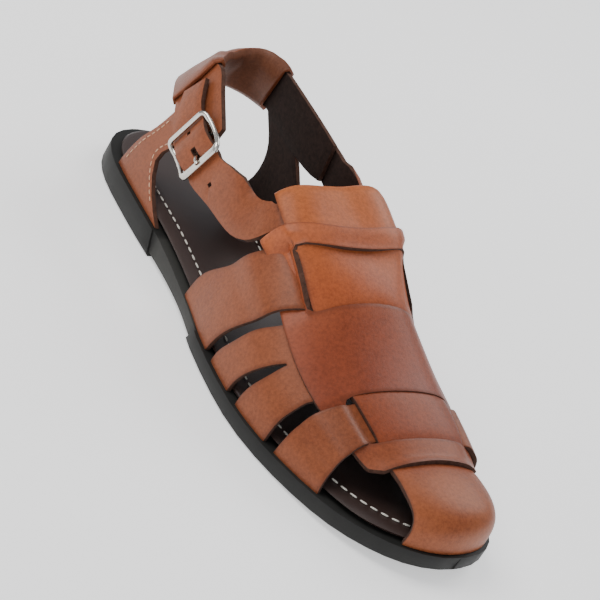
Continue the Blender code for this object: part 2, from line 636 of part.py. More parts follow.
def make_vamp(parts, tools, mat):
    """The woven wall: one shell with gaps cut through it and its strips raised a layer."""
    wall_rows, wall_cols = 25, 27
    u = 0.5 * (1 - np.cos(np.linspace(0, math.pi, wall_cols)))
    back_edge = spline(INSTEP_BACK, 60)
    half_u = np.minimum(u, 1 - u)
    back = np.interp(half_u, back_edge[:, 1], back_edge[:, 0]) * SOLE_LENGTH
    front = (TOE_START + TOE_RUN) * SOLE_LENGTH
    t = np.linspace(0, 1, wall_rows)[:, None]
    v = back[None, :] * (1 - t) + front * t
    uu = np.broadcast_to(u[None, :], v.shape)
    vamp = slab("vamp", on_last(v, uu, LEATHER), on_last(v, uu, 0), parts, mat)

    toe_sole = [(row[0], -0.03) for row in TOE_GAP]
    toe_tongue = [(row[1], row[2]) for row in TOE_GAP]
    gaps = (("gap_instep", FIRST_FRONT, SECOND_BACK, 9, 3), ("slit", SLIT_BACK, SLIT_FRONT, 9, 3),
            ("gap_toe_strap", SECOND_FRONT, THIRD_BACK, 8, 3), ("gap_toe", toe_sole, toe_tongue, 16, 6))
    for name, first, second, samples, columns in gaps:
        for mirrored in (False, True):
            side = "medial" if mirrored else "lateral"
            cutter = strip("%s_%s" % (name, side), first, second, -1 * MM, LEATHER + 1 * MM,
                           samples, columns, tools, mirrored)
            boolean(vamp, cutter, "DIFFERENCE")

    base = LEATHER - FUSE
    tongue = spline(TONGUE_EDGE, 60)

    def edge_at(a):
        return float(np.interp(a, tongue[:, 0], tongue[:, 1]))

    # Centre strap over the first and third cross straps, in its two windows
    for name, a0, a1 in (("window_instep", 0.565, 0.640), ("window_toe", 0.752, 0.838)):
        first = [(a0, edge_at(a0)), ((a0 + a1) / 2, edge_at((a0 + a1) / 2)), (a1, edge_at(a1))]
        second = [(a, 1 - g) for a, g in first]
        middle = 0.5 * (a0 + a1) * SOLE_LENGTH
        reach = 0.5 * (a1 - a0) * SOLE_LENGTH

        def high(v, u, middle=middle, reach=reach):
            return LEATHER * (2.0 - 0.75 * np.clip(np.abs(v - middle) / reach, 0, 1) ** 4)

        boolean(vamp, strip(name, first, second, base, high, 5, 12, tools), "UNION")

    # Ladder strap: rungs over the centre strap, rails over the second cross strap
    rail = RAIL_EDGE
    girths = (rail, 0.34, 0.5, 0.66, 1 - rail)
    first = [(0.634, g) for g in girths]
    second = [(0.7585, g) for g in girths]
    rung_high = lambda v, u: raised(u, ((rail, 0.02, 0.25), (1 - rail, 0.02, 0.25)))
    boolean(vamp, strip("rung_middle", first, second, base, rung_high, 16, 5, tools), "UNION")
    girths = (0.262, 0.34, 0.5, 0.66, 0.738)
    first = [(0.834, g) for g in girths]
    second = list(zip((0.866, 0.874, 0.870, 0.870, 0.866), girths))
    toe_rung_high = lambda v, u: LEATHER * (1.05 + 0.98 * ease(0.28, 0.38, u) * (1 - ease(0.62, 0.72, u)))
    boolean(vamp, strip("rung_toe", first, second, base, toe_rung_high, 13, 3, tools), "UNION")

    # First and third cross straps, raised where they pass over the rails
    cross_high = lambda v, u: raised(np.minimum(u, 1 - u), ((0.13, 0.07, 0.95), (0.318, 0.05, 0.8)))
    girths = (0.130, 0.175, 0.215, 0.268, 0.316)
    edges = (("cross_instep", (0.4835, 0.5055, 0.5235, 0.545, 0.556), (0.588, 0.602, 0.6085, 0.620, 0.631)),
             ("cross_toe", (0.7685, 0.768, 0.768, 0.768, 0.768), (0.846, 0.842, 0.838, 0.832, 0.830)))
    for name, back_line, front_line in edges:
        for mirrored in (False, True):
            side = "medial" if mirrored else "lateral"
            first, second = list(zip(back_line, girths)), list(zip(front_line, girths))
            cross = strip("%s_%s" % (name, side), first, second, base, cross_high, 8, 4, tools, mirrored)
            boolean(vamp, cross, "UNION")

    # Centre strap's fold, a flat sleeve that the instep strap runs through
    girth = np.linspace(FOLD_GIRTH[0], FOLD_GIRTH[1], FOLD_LOOPS)
    outer, inner = [], []
    for path, stack in ((FOLD_OUTER, outer), (FOLD_INNER, inner)):
        for g in girth:
            stack.append([on_last(a * SOLE_LENGTH, g, n * LEATHER) for a, n in path])
    boolean(vamp, tube_loop("fold", np.array(outer), np.array(inner), tools), "UNION")

    # Back rung, over the fold in the middle; its ends go down in front of the instep strap
    girths = (0.236, 0.262, 0.30, 0.40, 0.5, 0.60, 0.70, 0.738, 0.764)
    first = list(zip((0.517, 0.512, 0.511, 0.516, 0.518, 0.516, 0.511, 0.512, 0.517), girths))
    second = list(zip((0.546, 0.552, 0.562, 0.573, 0.575, 0.573, 0.562, 0.552, 0.546), girths))

    def rung_top(v, u):
        a = v / SOLE_LENGTH
        middle = 4.30 - 1.25 * ease(0.530, 0.575, a)
        end = 2.8
        return LEATHER * (end + (middle - end) * ease(0.232, 0.285, np.minimum(u, 1 - u)))

    rung_low = lambda v, u: rung_top(v, u) - LEATHER - FUSE
    boolean(vamp, strip("rung_back", first, second, rung_low, rung_top, 18, 5, tools), "UNION")
    settle(vamp)
    return vamp


def band_runs(top):
    """Sections of a quarter's band, as shares of the sole's length along the feather line."""
    return np.linspace(0.0015, top[-1][0], 20)


def quarter(name, side, top, low, leg, parts, tools, mat):
    """Half of the heel strap with its tab and the leg that goes down to the sole."""
    height = ANKLE_HEIGHT
    upper = spline(top, 25)
    lower = spline(low, 25)
    run = band_runs(top)
    z_top = np.interp(run, upper[:, 0], upper[:, 1]) * height
    z_low = np.interp(run, lower[:, 0], lower[:, 1]) * height
    t = np.linspace(0, 1, 5)[None, :]
    z = z_low[:, None] * (1 - t) + z_top[:, None] * t
    runs = np.broadcast_to((run * SOLE_LENGTH)[:, None], z.shape)
    obj = slab(name, on_ankle(side, runs, z, LEATHER), on_ankle(side, runs, z, 0), parts, mat)
    edges = spline(leg, 11)
    foot = float(rubber_top(edges[0, 1] * SOLE_LENGTH)) + FIT
    z = edges[:, 0] * height
    z = foot + (z - z[0]) * (z[-1] - foot) / (z[-1] - z[0])
    t = np.linspace(0, 1, 7)[None, :]
    across = (edges[:, 1][:, None] * (1 - t) + edges[:, 2][:, None] * t) * SOLE_LENGTH
    zz = np.broadcast_to(z[:, None], across.shape).copy()
    zz[0] = rubber_top(across[0]) + FIT
    runs = beside_heel(side, across)
    hair = 0.02 * MM
    join = slab(name + "_leg", on_ankle(side, runs, zz, LEATHER - hair), on_ankle(side, runs, zz, hair),
                tools)
    boolean(obj, join, "UNION")
    return obj


def make_sleeve(parts, mat):
    """Padded heel sleeve, a flat tube round the joint of the two quarters."""
    stacks = ([], [])
    room = 2 * FIT
    levels = (0, 0.35, 0.65, 1)
    sides = ((0, LATERAL_TOP, LATERAL_LOW, SLEEVE_LATERAL), (1, MEDIAL_TOP, MEDIAL_LOW, SLEEVE_MEDIAL))
    around = [(t, 1) for t in levels] + [(1, 0)] + [(t, -1) for t in reversed(levels)] + [(0, 0)]
    for side, top, low, end in sides:
        rows = ([], [])
        upper, lower = spline(top, 25), spline(low, 25)
        slant = SLEEVE_SLANT * end / SLEEVE_MEDIAL / 2
        runs = [a * SOLE_LENGTH for a in band_runs(top) if a * SOLE_LENGTH < end - slant - 6 * MM]
        runs += [end - 6 * MM, end - 3 * MM, end]
        for run in runs:
            tilt = slant * ease(end - 9 * MM, end, run)
            for row, grow, swell in ((rows[0], SLEEVE_WALL + room, 0.6 * MM), (rows[1], room, 0)):
                loop = []
                for t, face in around:
                    at = run + tilt * (2 * t - 1)
                    z1 = np.interp(at / SOLE_LENGTH, upper[:, 0], upper[:, 1]) * ANKLE_HEIGHT
                    z0 = np.interp(at / SOLE_LENGTH, lower[:, 0], lower[:, 1]) * ANKLE_HEIGHT
                    bulge = grow + swell * math.sin(math.pi * t)
                    off = {1: LEATHER + bulge, 0: LEATHER / 2, -1: -bulge}[face]
                    z = z0 + (z1 - z0) * t + (1.5 * grow * (2 * t - 1) if face == 0 else 0)
                    loop.append(on_ankle(side, at, z, off))
                row.append(loop)
        for stack, row in zip(stacks, rows):
            stack.extend(reversed(row) if side == 0 else row)
    return tube_loop("heel_sleeve", np.array(stacks[0]), np.array(stacks[1]), parts, mat)


def strap_rows():
    """Cross rows of the instep strap's inner face from free end to sewn end, and where to sample them."""
    centre, along, across, out = frame_matrix()
    half = BUCKLE_LENGTH / 2
    beside = BUCKLE_WIRE + 2 * FIT + LEATHER
    over_pin = BUCKLE_BOW - PIN_WIRE - 2 * FIT
    share = np.linspace(0, 1, 4)[:, None]

    def straight(first, second):
        return first * (1 - share) + second * share

    def in_frame(place, drop):
        middle = centre + along * place - out * drop
        return straight(middle + across * STRAP_WIDTH / 2, middle - across * STRAP_WIDTH / 2)

    def ankle(side, upper, lower, off):
        (s0, z0), (s1, z1) = upper, lower
        return straight(on_ankle(side, beside_heel(side, s0 * SOLE_LENGTH), z0 * ANKLE_HEIGHT, off),
                        on_ankle(side, beside_heel(side, s1 * SOLE_LENGTH), z1 * ANKLE_HEIGHT, off))

    def over_last(upper, lower, off):
        edge = share[:, 0]
        v = (upper[0] * (1 - edge) + lower[0] * edge) * SOLE_LENGTH
        return on_last(v, upper[1] * (1 - edge) + lower[1] * edge, off)

    under = LEATHER + 2 * FIT
    hold = 1.19 * LEATHER
    lateral = [
        ankle(0, (0.1745, 0.875), (0.1445, 0.727), under + 0.4 * MM),
        in_frame(-half - 4 * MM, beside),
        in_frame(-half, beside),
        in_frame(0, over_pin),
        in_frame(half, beside),
        in_frame(half + 4 * MM, beside),
        ankle(0, (0.369, 0.744), (0.355, 0.494), 1.0 * MM),
        over_last((0.407, 0.250), (0.421, 0.155), 2.0 * MM),
        over_last((0.442, 0.275), (0.470, 0.197), 2.4 * MM),
        over_last((0.452, 0.289), (0.492, 0.252), 1.15 * LEATHER),
    ]
    fold = [over_last((0.4605, g), (0.5265 - 0.55 * abs(g - 0.5) ** 2, g), hold)
            for g in np.linspace(FOLD_GIRTH[0], FOLD_GIRTH[1], FOLD_LOOPS)]
    medial = [
        over_last((0.452, 0.711), (0.492, 0.748), 1.15 * LEATHER),
        over_last((0.440, 0.728), (0.466, 0.800), 2.4 * MM),
        ankle(1, (0.386, 0.875), (0.397, 0.653), 2.0 * MM),
        ankle(1, (0.340, 0.897), (0.341, 0.693), under),
        ankle(1, (0.283, 0.920), (0.286, 0.693), under),
        ankle(1, (0.228, 0.932), (0.231, 0.699), under),
    ]
    first, last = len(lateral), len(lateral) + len(fold) - 1
    total = len(lateral) + len(fold) + len(medial)
    where = np.concatenate([np.arange(0, first, 1 / 3), np.arange(first, last),
                            np.arange(last, total - 1 + 0.01, 1 / 3)])
    return np.array(lateral + fold + medial), where


def make_instep_strap(parts, tools, mat):
    """Strap from the medial quarter over the instep, through the fold and the buckle to its free end."""
    rows, where = strap_rows()
    flat = spline(rows.reshape(len(rows), -1) * 1000, at=where) / 1000
    sheet = flat.reshape(len(flat), -1, 3)
    normal = np.cross(np.gradient(sheet, axis=0), np.gradient(sheet, axis=1))
    normal /= np.linalg.norm(normal, axis=-1, keepdims=True)
    if np.sum(normal * (sheet - np.array([0, SOLE_LENGTH / 2 - 100 * MM, 30 * MM]))) < 0:
        normal = -normal
    strap = slab("instep_strap", sheet + normal * LEATHER, sheet, parts, mat)
    centre, along, across, out = frame_matrix()
    half = BUCKLE_LENGTH / 2
    back, front = half - 8.4 * MM, half - 1.8 * MM
    round_hole = front - HOLE_SIZE
    small = HOLE_SIZE
    holes = (
        # name, back end, front end, width
        ("hole_prong", back, front, 2 * (PRONG_WIRE + 2 * FIT)),
        ("hole_back", round_hole - HOLE_PITCH - small, round_hole - HOLE_PITCH + small, 2 * small),
        ("hole_front", round_hole + HOLE_PITCH - small, round_hole + HOLE_PITCH + small, 2 * small),
    )
    for name, l0, l1, wide in holes:
        grids = []
        for height in (7 * MM, -7 * MM):
            level = centre + out * height
            grids.append(np.array([[level + along * l + across * w for w in (-wide / 2, wide / 2)]
                                   for l in (l0, l1)]))
        boolean(strap, slab(name, grids[0], grids[1], tools), "DIFFERENCE")
    return strap


def frame_matrix():
    """Place and directions of the buckle: centre, along the strap, across it, outward."""
    stack = LEATHER + FIT + 2 * PIN_WIRE + BUCKLE_BOW - 0.1 * MM
    centre = on_ankle(0, beside_heel(0, 76 * MM), 55.8 * MM, stack)
    out = np.array((-0.966, 0.03, 0.195))
    out /= np.linalg.norm(out)
    along = np.array((0, -0.975, -0.22))
    along -= out * np.dot(along, out)
    along /= np.linalg.norm(along)
    across = np.cross(along, out)
    return centre, along, across if across[2] > 0 else -across, out


def wire(name, points, radius, cyclic, group, mat):
    """Round bar through points, as a mesh with welded ends."""
    curve = bpy.data.curves.new(name, "CURVE")
    curve.dimensions = "3D"
    curve.bevel_depth = radius
    curve.bevel_resolution = 2
    curve.use_fill_caps = True
    path = curve.splines.new("POLY")
    path.points.add(len(points) - 1)
    for point, place in zip(path.points, points):
        point.co = (*place, 1)
    path.use_cyclic_u = cyclic
    temp = bpy.data.objects.new(name + "_curve", curve)
    group.objects.link(temp)
    bpy.context.view_layer.update()
    mesh = bpy.data.meshes.new_from_object(temp.evaluated_get(bpy.context.evaluated_depsgraph_get()))
    bpy.data.objects.remove(temp)
    bm = bmesh.new()
    bm.from_mesh(mesh)
    bmesh.ops.remove_doubles(bm, verts=bm.verts, dist=1e-6)
    bmesh.ops.recalc_face_normals(bm, faces=bm.faces)
    bm.to_mesh(mesh)
    bm.free()
    obj = bpy.data.objects.new(name, mesh)
    group.objects.link(obj)
    if mat:
        mesh.materials.clear()
        mesh.materials.append(mat)
        mesh.shade_smooth()
    else:
        obj.hide_render = True
        obj.display_type = "WIRE"
    return obj


def make_buckle(parts, tools, mat):
    """Rectangular frame, bowed at its sides down to the bar in its middle."""
    centre, along, across, out = frame_matrix()
    half_l, half_w, corner = BUCKLE_LENGTH / 2, BUCKLE_WIDTH / 2, BUCKLE_CORNER
    places = []
    for quadrant, (sl, sw) in enumerate(((1, 1), (-1, 1), (-1, -1), (1, -1))):
        for step in range(4):
            angle = (quadrant + step / 3) * math.pi / 2
            places.append((sl * (half_l - corner) + corner * math.cos(angle),
                           sw * (half_w - corner) + corner * math.sin(angle)))
        if quadrant in (0, 2):
            places += [(sl * 4 * MM, sw * half_w), (0, sw * half_w), (-sl * 4 * MM, sw * half_w)]
    points = []
    for l, w in places:
        bow = BUCKLE_BOW * (1 - min(1, abs(l) / half_l) ** 2)
        points.append(centre + along * l + across * w - out * bow)
    frame = wire("buckle_frame", points, BUCKLE_WIRE, True, parts, mat)
    low = centre - out * BUCKLE_BOW
    pin = wire("buckle_bar", [low + across * half_w, low - across * half_w], PIN_WIRE, False, tools, None)
    boolean(frame, pin, "UNION")
    return frame


def make_prong(parts, mat):
    """Prong from the bar through the strap's hole onto the frame's front."""
    centre, along, across, out = frame_matrix()
    start = PIN_WIRE + FIT + PRONG_WIRE
    rest = BUCKLE_WIRE + FIT + PRONG_WIRE
    half = BUCKLE_LENGTH / 2
    places = ((start, -BUCKLE_BOW), (start + 0.2 * half, -1.0 * BUCKLE_BOW), (0.75 * half, 0.55 * rest),
              (half - 0.4 * MM, rest), (half + 1.6 * MM, rest - 0.1 * MM))
    points = [centre + along * l + out * h for l, h in places]
    return wire("buckle_prong", points, PRONG_WIRE, False, parts, mat)


def remove_all():
    for obj in list(bpy.data.objects):
        bpy.data.objects.remove(obj)


def main():
    remove_all()
    parts = bpy.data.collections.new("fisherman_sandal")
    tools = bpy.data.collections.new("cutters")
    for group in (parts, tools):
        bpy.context.scene.collection.children.link(group)
    rubber = material("black_rubber", (0.030, 0.031, 0.029), 0.62)
    footbed = material("dark_footbed_leather", (0.040, 0.022, 0.019), 0.38)
    tan = material("cognac_leather", (0.38, 0.125, 0.050), 0.46)
    brown = material("sleeve_leather", (0.28, 0.085, 0.036), 0.50)
    steel = material("nickel", (0.72, 0.70, 0.66), 0.22, 1.0)
    make_outsole(parts, tools, rubber)
    make_insole(parts, footbed)
    make_vamp(parts, tools, tan)
    quarter("quarter_lateral", 0, LATERAL_TOP, LATERAL_LOW, LATERAL_LEG, parts, tools, tan)
    quarter("quarter_medial", 1, MEDIAL_TOP, MEDIAL_LOW, MEDIAL_LEG, parts, tools, tan)
    make_sleeve(parts, brown)
    make_instep_strap(parts, tools, tan)
    make_buckle(parts, tools, steel)
    make_prong(parts, steel)


main()
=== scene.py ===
"""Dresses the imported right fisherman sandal: woven straps, heel strap, buckle, footbed and sole."""
import math

import bpy
import numpy as np
from mathutils import Matrix, Vector
from mathutils.kdtree import KDTree

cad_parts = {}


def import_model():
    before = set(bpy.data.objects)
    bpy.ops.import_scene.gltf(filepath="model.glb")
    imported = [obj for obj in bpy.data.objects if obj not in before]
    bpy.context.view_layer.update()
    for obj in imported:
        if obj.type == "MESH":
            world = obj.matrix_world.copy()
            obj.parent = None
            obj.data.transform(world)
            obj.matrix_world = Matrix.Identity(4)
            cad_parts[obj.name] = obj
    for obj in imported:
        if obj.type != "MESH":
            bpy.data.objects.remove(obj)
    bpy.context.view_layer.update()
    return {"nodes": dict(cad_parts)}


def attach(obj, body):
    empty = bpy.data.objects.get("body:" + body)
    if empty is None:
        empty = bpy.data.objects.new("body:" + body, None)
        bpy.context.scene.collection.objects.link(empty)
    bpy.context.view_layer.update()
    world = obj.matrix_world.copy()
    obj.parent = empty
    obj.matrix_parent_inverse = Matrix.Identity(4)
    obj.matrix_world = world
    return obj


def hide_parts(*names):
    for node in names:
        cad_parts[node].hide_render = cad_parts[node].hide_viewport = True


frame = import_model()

bl_info = {
    "name": "Fisherman sandal",
    "version": (1, 0, 0),
    "blender": (4, 5, 0),
    "location": "View3D > Sidebar > Sandal",
    "description": "Builds a right fisherman sandal's straps, stitches and finishes around its packed solids",
    "category": "Object",
}

MM = 0.001
BODY = "root"

# Sizes shared with the part's source
SOLE_LENGTH = 290 * MM
HALF_BALL = 52 * MM
HEEL_RUBBER = 11.8 * MM
FORE_RUBBER = 7.6 * MM
TOE_SPRING = 6.0 * MM
FOOTBED = 4.0 * MM

# Sizes of the upper
LEATHER = 2.3 * MM
FIT = 0.3 * MM
STRAP_SETBACK = 4.2 * MM
INSTEP_HEIGHT = 76 * MM
MEDIAL_RISE = 6.5 * MM
MEDIAL_SPREAD = 6 * MM
ANKLE_HEIGHT = 88 * MM

# Outline of the sole: share of the length from the heel, then shares of half the ball width
OUTLINE = (
    # along, lateral, medial
    (0.0, 0.0, 0.0), (0.014, 0.31, 0.33), (0.048, 0.5, 0.54), (0.103, 0.62, 0.63),
    (0.172, 0.67, 0.655), (0.241, 0.7, 0.63), (0.31, 0.715, 0.59), (0.379, 0.745, 0.575),
    (0.448, 0.81, 0.6), (0.517, 0.91, 0.67), (0.586, 0.975, 0.785), (0.655, 1.01, 0.905),
    (0.707, 1.0, 0.965), (0.759, 0.95, 1.005), (0.828, 0.845, 1.0), (0.897, 0.69, 0.915),
    (0.948, 0.485, 0.77), (0.983, 0.24, 0.56), (1.0, -0.13, 0.13),
)
SPRING_START = 0.74
HEEL_FLAT_END = 0.24
FORE_FLAT_START = 0.45
# Height of the last over the sole: share of the length, share of the instep height
LAST_RIDGE = (
    # along, height
    (0.345, 1.0), (0.448, 0.89), (0.517, 0.82), (0.586, 0.75), (0.655, 0.605), (0.724, 0.465),
    (0.793, 0.368), (0.862, 0.268),
)
RIDGE_SHIFT = 0.06
MEDIAL_RISE_END = (0.46, 0.64)
SIDE_POWER = 0.87
TOP_POWER = 0.88
TOE_START = 0.862
TOE_RUN = 0.155
TOE_END_LATERAL = 0.962
TOE_END_MEDIAL = 0.969
TOE_POWER = 0.75
FAN_POWER = 1.3

LEAN = (
    # height, share of the way from the feather line to the rim
    (0.0, 0.0), (0.14, 0.0), (0.35, 0.13), (0.6, 0.44), (0.8, 0.78), (0.955, 1.0), (1.05, 1.13),
)
RIM = (
    # along the feather line (lateral side negative), sideways, distance from the heel
    (-0.48, -0.6, 0.438), (-0.4, -0.54, 0.358), (-0.345, -0.48, 0.303), (-0.29, -0.432, 0.248),
    (-0.221, -0.385, 0.186), (-0.172, -0.356, 0.163), (-0.131, -0.28, 0.15), (-0.086, -0.173, 0.1345),
    (-0.041, -0.05, 0.117), (0.0, 0.05, 0.1085), (0.041, 0.163, 0.099), (0.086, 0.24, 0.1),
    (0.131, 0.337, 0.1085), (0.172, 0.388, 0.1345), (0.224, 0.362, 0.176), (0.338, 0.327, 0.29),
    (0.396, 0.352, 0.348), (0.45, 0.37, 0.4),
)


def knots_of(points):
    """Parameter of each point of a curve, by the root of its steps' lengths."""
    return np.r_[0, np.cumsum(np.linalg.norm(np.diff(points, axis=0), axis=1) ** 0.5)]


def run_along(points):
    """Way along a line of points, from the first one to each."""
    return np.r_[0, np.cumsum(np.linalg.norm(np.diff(points, axis=0), axis=1))]


def between(first, last, count):
    """Columns at even steps from one column of values to another."""
    t = np.linspace(0, 1, count)[None, :]
    return first[:, None] * (1 - t) + last[:, None] * t


def spline(points, count=None, at=None):
    """Natural cubic curve through points of any dimension, at count even places or at given row numbers."""
    pts = np.asarray(points, float)
    knots = knots_of(pts)
    gaps = np.diff(knots)
    last_index = len(pts) - 1
    system = np.eye(len(pts))
    right = np.zeros_like(pts)
    for i in range(1, last_index):
        system[i, i - 1:i + 2] = gaps[i - 1], 2 * (gaps[i - 1] + gaps[i]), gaps[i]
        right[i] = 6 * ((pts[i + 1] - pts[i]) / gaps[i] - (pts[i] - pts[i - 1]) / gaps[i - 1])
    bend = np.linalg.solve(system, right)
    where = np.linspace(0, knots[-1], count) if at is None else np.interp(at, np.arange(len(pts)), knots)
    k = np.clip(np.searchsorted(knots, where, "right") - 1, 0, last_index - 1)
    a = (where - knots[k])[:, None]
    b = (knots[k + 1] - where)[:, None]
    h = gaps[k][:, None]
    cubic = bend[k] * b ** 3 / (6 * h) + bend[k + 1] * a ** 3 / (6 * h)
    return cubic + (pts[k] / h - bend[k] * h / 6) * b + (pts[k + 1] / h - bend[k + 1] * h / 6) * a


def ease(low, high, x):
    """Smooth step from 0 at low to 1 at high."""
    t = np.clip((x - low) / (high - low), 0, 1)
    return t * t * (3 - 2 * t)


def outline_ring():
    """The sole's outline as a closed ring of (x, distance from the heel), lateral side first."""
    lateral = [(-row[1] * HALF_BALL, row[0] * SOLE_LENGTH) for row in OUTLINE]
    medial = [(row[2] * HALF_BALL, row[0] * SOLE_LENGTH) for row in OUTLINE]
    loop = lateral + medial[::-1][1:-1]
    wrap = 4
    padded = np.array(loop[-wrap:] + loop + loop[:wrap + 1])
    count = 1600
    curve = spline(padded * 1000, count) / 1000
    knots = knots_of(padded)
    where = np.linspace(0, knots[-1], count)
    return curve[(where >= knots[wrap]) & (where < knots[wrap + len(loop)])]


def inset(ring, distance):
    """Moves a ring inwards; distance is one value or one for each point."""
    along = np.roll(ring, -1, 0) - np.roll(ring, 1, 0)
    along /= np.hypot(along[:, 0], along[:, 1])[:, None]
    outward = np.stack([-along[:, 1], along[:, 0]], -1)
    return ring - outward * np.reshape(distance, (-1, 1))


def halves(ring):
    """Splits a ring at the toe into its lateral and medial sides, each from heel to toe."""
    toe = ring[:, 1].argmax()
    lateral = ring[:toe + 1]
    medial = np.concatenate([ring[toe:], ring[:1]])[::-1]
    return lateral, medial


EDGE = outline_ring()
FEATHER = inset(EDGE, STRAP_SETBACK)
FEATHER_SIDES = halves(FEATHER)


def side_x(side, s):
    """Sideways place of one side of a ring at distance s from the heel."""
    return np.interp(s, side[:, 1], side[:, 0])


def spring(s):
    """Height of the toe spring at distance s from the heel."""
    start = SPRING_START * SOLE_LENGTH
    return TOE_SPRING * np.clip((s - start) / (SOLE_LENGTH - start), 0, 1) ** 2


def rubber_top(s):
    """Height of the rubber's upper face at distance s from the heel."""
    heel_end = HEEL_FLAT_END * SOLE_LENGTH
    fore_start = FORE_FLAT_START * SOLE_LENGTH
    return HEEL_RUBBER + (FORE_RUBBER - HEEL_RUBBER) * ease(heel_end, fore_start, s) + spring(s)


def world(x, s, z):
    """From distance behind the heel's edge to the part's frame, where the toe is at -Y."""
    return np.stack(np.broadcast_arrays(x, SOLE_LENGTH / 2 - s, z), -1)


RIM_CURVE = spline([(a * SOLE_LENGTH, x * HALF_BALL, s * SOLE_LENGTH) for a, x, s in RIM], 300)
RIDGE = spline([(a * SOLE_LENGTH, h * INSTEP_HEIGHT) for a, h in LAST_RIDGE], 400)
FEATHER_LINE = np.concatenate([FEATHER_SIDES[0], FEATHER_SIDES[1][::-1][1:]])
FEATHER_RUN = run_along(FEATHER_LINE)
SIDE_RUNS = [run_along(side) for side in FEATHER_SIDES]


def feather_run(side, s):
    """Run of the feather line, heel to heel round the toe, at distance s on one side."""
    points = FEATHER_SIDES[side]
    index = np.interp(s, points[:, 1], np.arange(len(points)))
    if side == 1:
        index = len(FEATHER_LINE) - 1 - index
    return np.interp(index, np.arange(len(FEATHER_LINE)), FEATHER_RUN)


def last_surface(v, u):
    """The last: v is distance from the heel, u the girth from lateral (0) to medial (1) feather line.

    Sections are upright arches as far as the toe, where they fan out to follow the outline.
    """
    v, u = np.broadcast_arrays(np.asarray(v, float), np.asarray(u, float))
    start = TOE_START * SOLE_LENGTH
    turn = np.clip((v - start) / (TOE_RUN * SOLE_LENGTH), 0, 1) * math.pi / 2
    reach = np.sin(turn)
    s_lat = np.where(v < start, v, start + (TOE_END_LATERAL * SOLE_LENGTH - start) * reach)
    s_med = np.where(v < start, v, start + (TOE_END_MEDIAL * SOLE_LENGTH - start) * reach)
    ridge = np.interp(v, RIDGE[:, 0], RIDGE[:, 1])
    height = np.where(v < start, ridge, RIDGE[-1, 1] * np.cos(turn) ** TOE_POWER)
    inside = np.clip(u, 0, 1)
    across = np.cos(math.pi * inside)
    share = 0.5 * (1 - np.sign(across) * np.abs(across) ** SIDE_POWER)
    share = share + RIDGE_SHIFT * np.sin(math.pi * share)
    x_lat, x_med = side_x(FEATHER_SIDES[0], s_lat), side_x(FEATHER_SIDES[1], s_med)
    chord_x = x_lat + (x_med - x_lat) * share
    chord_s = s_lat + (s_med - s_lat) * share
    run_lat, run_med = feather_run(0, s_lat), feather_run(1, s_med)
    run = run_lat + (run_med - run_lat) * share
    round_x = np.interp(run, FEATHER_RUN, FEATHER_LINE[:, 0])
    round_s = np.interp(run, FEATHER_RUN, FEATHER_LINE[:, 1])
    # the instep is highest towards the inner side
    medial = 1 - ease(MEDIAL_RISE_END[0] * SOLE_LENGTH, MEDIAL_RISE_END[1] * SOLE_LENGTH, v)
    medial = medial * ease(0.48, 0.72, inside) * (1 - ease(0.78, 1.0, inside))
    chord_x = chord_x + MEDIAL_SPREAD * medial
    fan = reach ** FAN_POWER
    x = chord_x * (1 - fan) + round_x * fan
    s = chord_s * (1 - fan) + round_s * fan
    z = rubber_top(s) + FIT + height * np.abs(np.sin(math.pi * inside)) ** TOP_POWER + MEDIAL_RISE * medial
    z = z + np.minimum(u, 0) * 0.1 + np.minimum(1 - u, 0) * 0.1
    return world(x, s, z)


def on_last(v, u, off):
    """A point off the last along its normal."""
    v, u, off = np.broadcast_arrays(np.asarray(v, float), np.asarray(u, float), np.asarray(off, float))
    point = last_surface(v, u)
    step_v, step_u = 0.1 * MM, 0.001
    inner_u = np.clip(u, 0.004, 0.996)
    inner_v = np.clip(v, 0, (TOE_START + TOE_RUN) * SOLE_LENGTH - 4 * step_v)
    along = last_surface(inner_v + step_v, inner_u) - last_surface(inner_v - step_v, inner_u)
    around = last_surface(inner_v, inner_u + step_u) - last_surface(inner_v, inner_u - step_u)
    normal = np.cross(along, around)
    normal /= np.linalg.norm(normal, axis=-1, keepdims=True)
    point = point + normal * off[..., None]
    seat = rubber_top(SOLE_LENGTH / 2 - point[..., 1]) + FIT
    on_wall = (u >= 0) & (u <= 1)
    point[..., 2] = np.where(on_wall, np.maximum(point[..., 2], seat), point[..., 2])
    return point


def beside_heel(side, s):
    """Way along the feather line to a distance from the heel."""
    return np.interp(s, FEATHER_SIDES[side][:, 1], SIDE_RUNS[side])


def on_ankle(side, run, z, off):
    """A point between the feather line and the heel strap's rim, off the ankle.

    Side 0 is lateral, 1 medial.
    """
    run, z, off = np.broadcast_arrays(np.asarray(run, float), np.asarray(z, float), np.asarray(off, float))
    share = np.interp(z, [row[0] * ANKLE_HEIGHT for row in LEAN], [row[1] for row in LEAN])

    def place(where):
        low = []
        for axis in (0, 1):
            sides = [np.interp(np.abs(where), SIDE_RUNS[k], FEATHER_SIDES[k][:, axis]) for k in (0, 1)]
            low.append(np.where(where < 0, sides[0], sides[1]))
        high = [np.interp(where, RIM_CURVE[:, 0], RIM_CURVE[:, axis]) for axis in (1, 2)]
        return low[0] + (high[0] - low[0]) * share, low[1] + (high[1] - low[1]) * share

    signed = -run if side == 0 else run
    step = 2 * MM
    x, s = place(signed)
    ahead, behind = place(signed + step), place(signed - step)
    dx, ds = ahead[0] - behind[0], ahead[1] - behind[1]
    size = np.hypot(dx, ds)
    return world(x + ds / size * off, s - dx / size * off, z)


